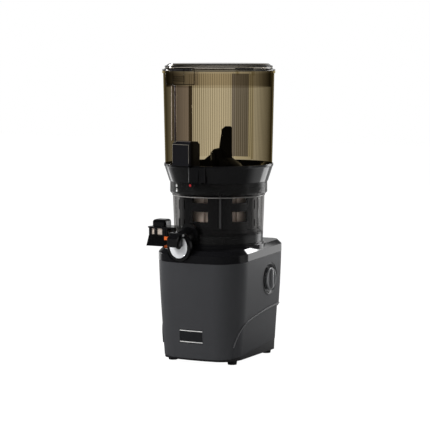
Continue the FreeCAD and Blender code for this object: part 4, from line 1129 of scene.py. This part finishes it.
@dataclass
class PulpChute:
    """The pulp duct, its black cover and the gate.

    Attributes:
        rib_count: Grip ribs on the gate's tab.
        rib_size: Length, depth and height of a rib.
        rib_pitch: Distance between ribs.
        rib_place: Distance of the ribs from the drive axis, their sink and the first one's rise.
        skirt_reach: How far the cover's skirt stands out past its sleeve.
        windows: Start and end of each window from the sleeve's end.
        window_height: Height of the middle of the windows.
        window_rise: Height of a window.
        pane_out: Distance of a pane from the chute's middle line.
        pane_thick: Thickness of a pane.
    """

    rib_count: int = 3
    rib_size: Size = (0.0076, 0.0006, 0.0007)
    rib_pitch: float = 0.0016
    rib_place: Size = (0.0900, 0.0001, 0.0014)
    skirt_reach: float = 0.0034
    windows: Tuple[Pair, ...] = ((0.0050, 0.0105), (0.0160, 0.0260))
    window_height: float = 0.2110
    window_rise: float = 0.0110
    pane_out: float = 0.0144
    pane_thick: float = 0.0006

    def build(self) -> None:
        """Dresses the chute, ribs the gate's tab and fills the cover's windows."""
        FINISHES.dress(Look.SMOKE_CHUTE, "pulp_chute")
        FINISHES.dress(Look.GLOSS, "chute_cover")
        FINISHES.dress(Look.GATE, "pulp_gate")
        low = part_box("pulp_gate")[0]
        back, sink, first = self.rib_place
        form = Form()
        for k in range(self.rib_count):
            at = (AXIS.x - back, low.y + sink, low.z + first + self.rib_pitch * k)
            form.bar(self.rib_size, Matrix.Translation(at))
        form.piece("gate_ribs", "gate", Look.ORANGE)
        self.panes()

    def panes(self) -> None:
        """Pale panes in the four windows of the cover."""
        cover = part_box("chute_cover")[0].x + self.skirt_reach
        form = Form()
        for start, end in self.windows:
            size = (end - start, self.pane_thick, self.window_rise)
            x = cover + (start + end) / 2.0
            for side in (-1, 1):
                at = (x, AXIS.y + side * self.pane_out, self.window_height)
                form.bar(size, Matrix.Translation(at), EASE_FINE)
        form.piece("chute_panes", "drum", Look.PANE)


@dataclass
class FeedHopper:
    """The clear hopper on its funnel, with the interlock in front.

    Attributes:
        rib_count: Upright ribs on the back wall.
        rib_first: Angle of the first rib from the front, in degrees.
        rib_pitch: Angle between ribs.
        rib_width: Width of a rib.
        rib_depth: Depth of a rib or strip.
        rib_gaps: Gap under a rib or strip, above the collar, and over it, below the hopper's top.
        inner_low: Radius of the ribs at the foot.
        inner_high: Radius of the ribs at the top.
        spine_middle: Middle of the dark strips at the back, in degrees from the front.
        spine_angle: Angle that they cover.
        spine_strips: Number of strips.
        spine_inset: Distance of the strips from the ribs.
        panel_width: Width of the column's panel.
        panel_out: Distance of the panel from the drive axis.
        panel_deep: Depth of the column's side wall.
        panel_thick: Thickness of the panel and depth of the pale strip painted as its edge
            highlight.
        panel_gap: Gap under and over the panel.
        side_thick: Thickness of the side wall and width of the painted highlight strip.
        glint_offset: How far the painted highlight strip stands past the panel, across and
            outwards.
        case_half: Half of the width of the interlock's block.
        case_out: Distance of that block's front from the drive axis.
        case_foot: Height of its edges' foot over the collar.
        case_slope: Width of the slope along its upper front edge.
        case_glint_width: Width of a pale strip painted as a highlight along an edge.
        case_sinks: Sink of such a strip across, inwards and downwards.
        spring_wire: Radius of the spring's wire.
        spring_turns: Turns of the spring.
        rod_travel: How far the rod pushes the spring down; not used.
    """

    rib_count: int = 30
    rib_first: float = 169.0
    rib_pitch: float = 2.5
    rib_width: float = 0.0012
    rib_depth: float = 0.0008
    rib_gaps: Pair = (0.006, 0.012)
    inner_low: float = 0.0872
    inner_high: float = 0.0900
    spine_middle: float = 181.6
    spine_angle: float = 21.0
    spine_strips: int = 6
    spine_inset: float = 0.0016
    panel_width: float = 0.0365
    panel_out: float = 0.0985
    panel_deep: float = 0.0085
    panel_thick: float = 0.0008
    panel_gap: float = 0.001
    side_thick: float = 0.0010
    glint_offset: Pair = (0.0006, 0.0002)
    case_half: float = 0.01800
    case_out: float = 0.0984
    case_foot: float = 0.004
    case_slope: float = 0.0050
    case_glint_width: float = 0.0007
    case_sinks: Size = (0.0004, 0.0002, 0.0001)
    spring_wire: float = 0.00035
    spring_turns: int = 6
    rod_travel: float = 0.0040

    def build(self) -> None:
        """Dresses the hopper, its funnel, the rotor and the interlock, and adds their details."""
        FINISHES.dress(Look.SMOKE_HOPPER, "hopper")
        FINISHES.dress(Look.GLOSS, "hopper_collar", "lock_tab", "feed_rotor")
        FINISHES.dress(Look.CASE, "interlock_housing")
        FINISHES.dress(Look.STEEL, "rotor_blade", "interlock_rod", "hinge_pin")
        FINISHES.dress(Look.SILICONE, "hopper_seal")
        self.ribs()
        self.spine()
        self.column()
        self.case_edges()
        self.spring()

    def upright(self, form: Form, angle: float, width: float, inset: float) -> None:
        """Adds a strip that leans with the hopper's wall.

        Args:
            form: The form that takes the strip.
            angle: Its place round the drive axis, in degrees from the front.
            width: Its width.
            inset: Its distance from the wall.
        """
        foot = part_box("hopper_collar")[1].z + self.rib_gaps[0]
        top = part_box("hopper")[1].z - self.rib_gaps[1]
        lower = around(angle, self.inner_low - inset, foot)
        upper = around(angle, self.inner_high - inset, top)
        rise = upper.translation - lower.translation
        place = lower.copy()
        place.translation = (lower.translation + upper.translation) / 2.0
        lean = math.atan2(self.inner_high - self.inner_low, rise.z)
        form.bar((width, self.rib_depth, rise.length), place @ Matrix.Rotation(lean, 4, "X"))

    def ribs(self) -> None:
        """Fine upright ribs on the inside of the back wall."""
        form = Form()
        for k in range(self.rib_count):
            self.upright(form, self.rib_first + k * self.rib_pitch, self.rib_width, 0.0)
        form.piece("hopper_ribs", "hopper", Look.SMOKE_RIB)

    def spine(self) -> None:
        """Darker strips inside the back wall, in front of the hinge."""
        form = Form()
        step = self.spine_angle / self.spine_strips
        width = self.inner_low * math.radians(step)
        for k in range(self.spine_strips):
            at = self.spine_middle + (k + 0.5) * step - self.spine_angle / 2.0
            self.upright(form, at, width, self.spine_inset)
        form.piece("hopper_spine", "hopper", Look.SMOKE_SPINE)

    def column(self) -> None:
        """Darker panel and side wall of the interlock's column, and a pale strip painted as the
        highlight on its left edge.
        """
        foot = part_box("interlock_housing")[1].z + self.panel_gap
        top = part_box("lid_latch")[0].z - self.panel_gap
        half, front = self.panel_width / 2.0, self.panel_out
        past, proud = self.glint_offset
        for name, look, width, depth, across, out, ease in (
                ("column_panel", Look.SMOKE_PANEL, self.panel_width, self.panel_thick,
                 0.0, front, EASE_WIDE),
                ("column_side", Look.SMOKE_EDGE, self.side_thick, self.panel_deep,
                 half, front - self.panel_deep / 2.0, EASE_WIDE),
                # Pale strip on the column's left edge: a painted highlight of that edge.
                ("column_bead", Look.PANE, self.side_thick, self.panel_thick,
                 -half - past, front + proud, EASE)):
            form = Form()
            form.bar((width, depth, top - foot), headed(across, out, (foot + top) / 2.0), ease)
            form.piece(name, "hopper", look)

    def case_edges(self) -> None:
        """Fine pale strips painted as highlights along the front edges of the interlock's block."""
        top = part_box("interlock_housing")[1].z
        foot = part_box("hopper_collar")[1].z + self.case_foot
        shoulder = top - self.case_slope
        across, inwards, down = self.case_sinks
        half, front = self.case_half - across, self.case_out - inwards
        form = Form()
        for side in (-1, 1):
            at = headed(side * half, front, (foot + shoulder) / 2.0)
            form.bar((self.case_glint_width, self.case_glint_width, shoulder - foot), at)
        for out, height in ((front, shoulder), (self.case_out - self.case_slope, top - down)):
            form.bar((2.0 * half, self.case_glint_width, self.case_glint_width), headed(0.0, out, height))
        # The strips' pale grey is a painted highlight on the block's edges.
        form.piece("case_edges", "hopper", Look.BEAD)

    def spring(self) -> None:
        """The rod's spring, wound as a coil in place of the carried-over one."""
        low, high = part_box("interlock_spring")
        centre = (low + high) / 2.0
        height = high.z - low.z
        radius = (high.x - low.x) / 2.0 - self.spring_wire
        foot = Matrix.Translation((centre.x, centre.y, low.z + self.spring_wire))
        rise = height - 2.0 * self.spring_wire
        form = Form()
        form.coil(radius, self.spring_wire, rise, self.spring_turns, foot)
        made = form.piece("rod_spring", "hopper", Look.STEEL)
        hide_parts("interlock_spring")
        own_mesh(made)


@dataclass
class HopperLid:
    """The hinged lid and its front latch.

    Attributes:
        ridge_count: Finger ridges in the latch's dish.
        ridge_size: Length, depth and height of a ridge.
        ridge_out: Distance of the ridges from the drive axis.
        ridge_first: Height of the first ridge over the latch's lower edge.
        ridge_pitch: Distance between ridges.
        wall_radius: Radius of the lid's upright wall.
        wall_foot: Height of the foot of that wall.
        wall_top: Height of its top edge.
        foot_shade_ring: Corners of the dark ring at the foot, from the wall's radius and foot.
        top_shade_ring: Corners of the dark ring at the top, from the wall's radius and top.
        latch_radius: Radius of the latch's front.
        latch_angle: Half of the angle that the latch covers, in degrees.
        frame_width: Width of the latch's raised frame.
        frame_depth: Depth of that frame.
        frame_steps: Straight lengths along its upper and lower edge.
        uprights: Places of its uprights, as shares of the latch's half angle.
    """

    ridge_count: int = 3
    ridge_size: Size = (0.026, 0.0010, 0.0014)
    ridge_out: float = 0.1022
    ridge_first: float = 0.0066
    ridge_pitch: float = 0.0034
    wall_radius: float = 0.0910
    wall_foot: float = 0.4904
    wall_top: float = 0.4955
    foot_shade_ring: Tuple[Pair, ...] = (
        (-0.0002, -0.0001), (0.0011, -0.0001), (0.0008, 0.0011), (-0.0002, 0.0012))
    top_shade_ring: Tuple[Pair, ...] = (
        (-0.0004, -0.0008), (0.0004, -0.0006), (0.0003, 0.0004), (-0.0009, 0.0009))
    latch_radius: float = 0.1040
    latch_angle: float = 17.4
    frame_width: float = 0.0011
    frame_depth: float = 0.0006
    frame_steps: int = 10
    uprights: Tuple[float, ...] = (-1.0, -0.38, 0.38, 1.0)

    def build(self) -> None:
        """Dresses the lid and latch and adds their beads, frame and finger ridges; the dark beads
        and frame are painted shade lines along the clear edges.
        """
        FINISHES.dress(Look.SMOKE_LID, "lid")
        FINISHES.dress(Look.SMOKE_LATCH, "lid_latch")
        FINISHES.dress(Look.GASKET, "lid_seal")
        FINISHES.dress(Look.STEEL, "latch_pin")
        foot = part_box("lid_latch")[0].z
        form = Form()
        for k in range(self.ridge_count):
            height = foot + self.ridge_first + self.ridge_pitch * k
            form.bar(self.ridge_size, headed(0.0, self.ridge_out, height), EASE_WIDE)
        form.piece("latch_ridges", "latch", Look.SMOKE_EDGE)
        self.beads()
        self.latch_frame(foot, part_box("hopper")[1].z)

    def beads(self) -> None:
        """Two raised rings round the lid, at the foot and the top of its wall, whose dark film is
        painted shade for the dark lines along the clear lid's edges.
        """
        form = Form()
        for height, profile in ((self.wall_foot, self.foot_shade_ring), (self.wall_top, self.top_shade_ring)):
            form.lathe([(self.wall_radius + out, height + up) for out, up in profile], ON_AXIS)
        # Dark rings: painted shade lines on the clear lid's wall.
        form.piece("lid_beads", "lid", Look.SMOKE_BEAD)

    def latch_frame(self, foot: float, top: float) -> None:
        """Raised frame on the latch's front, with two uprights between its ends; its dark film is
        painted shade for the dark outline lines of the latch.

        Args:
            foot: Height of the latch's lower edge.
            top: Height of its upper edge.
        """
        form = Form()
        inset = self.frame_width
        size = (self.frame_width, self.frame_depth, top - foot - 2.0 * inset)
        for share in self.uprights:
            angle = HEAD_ANGLE + share * self.latch_angle
            form.bar(size, around(angle, self.latch_radius, (foot + top) / 2.0))
        step = 2.0 * self.latch_angle / self.frame_steps
        size = (self.latch_radius * math.radians(step), self.frame_depth, self.frame_width)
        for height in (foot + inset, top - inset):
            for k in range(self.frame_steps):
                angle = HEAD_ANGLE - self.latch_angle + (k + 0.5) * step
                form.bar(size, around(angle, self.latch_radius, height))
        # The frame's dark film is painted shade along the latch's edges.
        form.piece("latch_frame", "latch", Look.SMOKE_BEAD)


def toward(azimuth: float, elevation: float = 0.0) -> Vector:
    """Direction from the juicer to a lamp or the camera.

    Args:
        azimuth: Angle from the front towards +X, in degrees.
        elevation: Angle above the level, in degrees.

    Returns:
        The direction, with a length of 1.
    """
    turn, rise = math.radians(azimuth), math.radians(elevation)
    level = math.cos(rise)
    return Vector((math.sin(turn) * level, -math.cos(turn) * level, math.sin(rise)))


def face(made: bpy.types.Object, place: Vector, aim: Vector) -> None:
    """Puts a lamp or camera at a place and turns it to its aim."""
    made.location = place
    made.rotation_euler = (aim - place).to_track_quat("-Z", "Y").to_euler()


@dataclass(frozen=True)
class Lamp:
    """One softbox that faces the juicer.

    Attributes:
        name: The lamp's name.
        azimuth: Angle from the front towards +X, in degrees.
        elevation: Angle above the level, in degrees.
        distance: Distance from its aim.
        size: Width and height.
        power: Power in watts.
        mirrored: Whether glossy surfaces mirror it.
        aim: Place that it faces, from the foot of the drive axis.
    """

    name: str
    azimuth: float
    elevation: float
    distance: float
    size: Pair
    power: float
    mirrored: bool
    aim: Size = (0.0, 0.0, 0.25)

    def build(self) -> None:
        """Adds the lamp to the scene."""
        data = bpy.data.lights.new(self.name, "AREA")
        data.shape = "RECTANGLE"
        data.size, data.size_y = self.size
        data.energy = self.power
        made = added(self.name, data)
        made.visible_glossy = self.mirrored
        aim = AXIS_FOOT + Vector(self.aim)
        face(made, aim + toward(self.azimuth, self.elevation) * self.distance, aim)


LAMPS = (
    Lamp("key", -40.0, 38.0, 2.6, (1.4, 1.4), 59.0, False),
    Lamp("front", 27.0, 22.0, 3.2, (1.6, 1.4), 2.0, False),
    Lamp("right", 150.0, 10.0, 0.5, (0.2, 0.44), 0.7, True, (0.0, 0.0, 0.200)),
    Lamp("top", 20.0, 86.0, 1.6, (0.8, 0.8), 6.0, False),
    Lamp("deck", 162.0, 27.0, 0.5, (0.28, 0.04), 0.6, True, (0.078, -0.072, 0.192)),
    Lamp("low", -113.0, -17.0, 0.73, (0.10, 0.12), 0.07, True, (0.0, 0.0, 0.315)),
    Lamp("lid", -97.0, 0.0, 1.5, (0.3, 0.10), 2.2, True, (0.0, 0.0, 0.485)),
    Lamp("corner", -128.0, 28.0, 1.5, (0.4, 0.14), 2.6, True),
    Lamp("left", -110.0, 6.0, 1.5, (0.12, 0.7), 0.4, True),
)


def grey(level: float) -> Color:
    """A grey of one level."""
    return (level, level, level)


@dataclass
class Studio:
    """Camera, lamps, floor and the white surround.

    A fade is the span of a place or direction, and the levels at the span's start and end.

    Attributes:
        azimuth: Camera's angle from the front towards +X, in degrees.
        distance: Camera's distance from the drive axis.
        height: Camera's height.
        aim_height: Height that the camera looks at.
        aim_across: Shift of the aim to the right in the picture.
        lens: Focal length in millimetres.
        sensor: Width of the camera's sensor in millimetres.
        reach: Farthest distance that the camera sees.
        clear_layers: Clear surfaces that a ray may pass.
        floor_half: Half of the floor's width.
        floor_tones: Darkest and palest tone of the floor.
        floor_clouds: Cells per metre of the floor's mottle.
        floor_glow: Brightness of the floor as it is seen.
        glow_share: Share of that glow in what is seen.
        mirror_tones: Darkest and palest tone of the floor in a mirror.
        mirror_share: Share of those tones in a mirror.
        floor_rear: Fade of the mirrored floor behind the juicer.
        floor_far: Fade of the mirrored floor further back.
        sky_rear: Fade of the mirrored surround towards the back.
        sky_right: Fade of the mirrored surround towards the right.
        sky_steep: Fade of the mirrored surround upwards.
        ambient: Brightness of the soft light.
    """

    azimuth: float = 27.0
    distance: float = 3.10
    height: float = 0.540
    aim_height: float = 0.243
    aim_across: float = -0.0063
    lens: float = 153.3
    sensor: float = 36.0
    reach: float = 100.0
    clear_layers: int = 48
    floor_half: float = 6.0
    floor_tones: Pair = (0.58, 0.62)
    floor_clouds: float = 3.0
    floor_glow: float = 1.18
    glow_share: float = 0.84
    mirror_tones: Pair = (0.10, 0.90)
    mirror_share: float = 0.9
    floor_rear: Tuple[Pair, Pair] = ((0.0, 0.35), (0.0, 1.0))
    floor_far: Tuple[Pair, Pair] = ((0.6, 1.1), (1.0, 0.35))
    sky_rear: Tuple[Pair, Pair] = ((0.3, 0.8), (0.0, 0.5))
    sky_right: Tuple[Pair, Pair] = ((0.55, 0.95), (0.02, 0.40))
    sky_steep: Tuple[Pair, Pair] = ((0.2, 0.5), (1.0, 0.3))
    ambient: float = 0.24

    def build(self) -> None:
        """Sets the scene round the juicer."""
        scene = bpy.context.scene
        scene.view_settings.view_transform = "Standard"
        scene.cycles.transparent_max_bounces = self.clear_layers
        scene.cycles.min_transparent_bounces = self.clear_layers
        self.camera()
        self.floor()
        self.surround()
        for lamp in LAMPS:
            lamp.build()

    def camera(self) -> None:
        """Places the camera at the picture's viewing angle."""
        data = bpy.data.cameras.new("camera")
        data.lens = self.lens
        data.sensor_width = self.sensor
        data.clip_end = self.reach
        made = added("camera", data)
        place = AXIS_FOOT + toward(self.azimuth) * self.distance + Vector((0.0, 0.0, self.height))
        right = toward(self.azimuth + 90.0)
        face(made, place, AXIS_FOOT + right * self.aim_across + Vector((0.0, 0.0, self.aim_height)))
        bpy.context.scene.camera = made

    def floor(self) -> None:
        """Lays the pale floor."""
        mesh = bmesh.new()
        bmesh.ops.create_grid(mesh, x_segments=2, y_segments=2, size=self.floor_half)
        data = bpy.data.meshes.new("floor")
        mesh.to_mesh(data)
        mesh.free()
        added("floor", data)
        material = bpy.data.materials.new("floor")
        graph = Graph(material)
        seen, mirrored = graph.rays()
        tone = graph.blend(graph.noise(self.floor_clouds), *map(grey, self.floor_tones))
        matte = graph.node("ShaderNodeBsdfDiffuse", {}, {"Color": tone})
        glow = graph.node("ShaderNodeEmission", {}, {"Color": WHITE, "Strength": self.floor_glow})
        depth = graph.along(1)
        shade = graph.ramp(depth, *self.floor_rear) * graph.ramp(depth, *self.floor_far)
        dim = graph.node("ShaderNodeEmission", {}, {
            "Color": graph.blend(shade, *map(grey, self.mirror_tones)), "Strength": 1.0})
        mixed = graph.mix(seen * self.glow_share, matte, glow)
        graph.surface(graph.mix(mirrored * self.mirror_share, mixed, dim))
        data.materials.append(material)

    def surround(self) -> None:
        """White backdrop for what is seen, soft grey light for the rest."""
        world = bpy.data.worlds.new("surround")
        bpy.context.scene.world = world
        graph = Graph(world)
        ray = graph.node("ShaderNodeTexCoord").out("Generated")
        way = graph.node("ShaderNodeSeparateXYZ", {}, {0: ray})
        behind = graph.ramp(way.out(1), *self.sky_rear) * graph.ramp(way.out(2), *self.sky_steep)
        mirror = behind.math("MAXIMUM", behind, graph.ramp(way.out(0), *self.sky_right))
        seen, mirrored = graph.rays()
        level = seen + (1.0 - seen) * (mirrored * mirror + (1.0 - mirrored) * self.ambient)
        back = graph.node("ShaderNodeBackground", {}, {"Color": WHITE, "Strength": level})
        graph.node("ShaderNodeOutputWorld", {}, {"Surface": back.out()})


def main() -> None:
    """Builds the juicer's looks and the studio."""
    logging.basicConfig(level=logging.INFO, format="%(name)s %(message)s")
    assemblies: List[Any] = [BaseHousing(), SpeedKnob(), JuicingDrum(), JuiceSpout(), PulpChute(),
                             FeedHopper(), HopperLid(), Studio()]
    for assembly in assemblies:
        log.info("building %s", type(assembly).__name__)
        assembly.build()


if __name__ == "__main__":
    main()
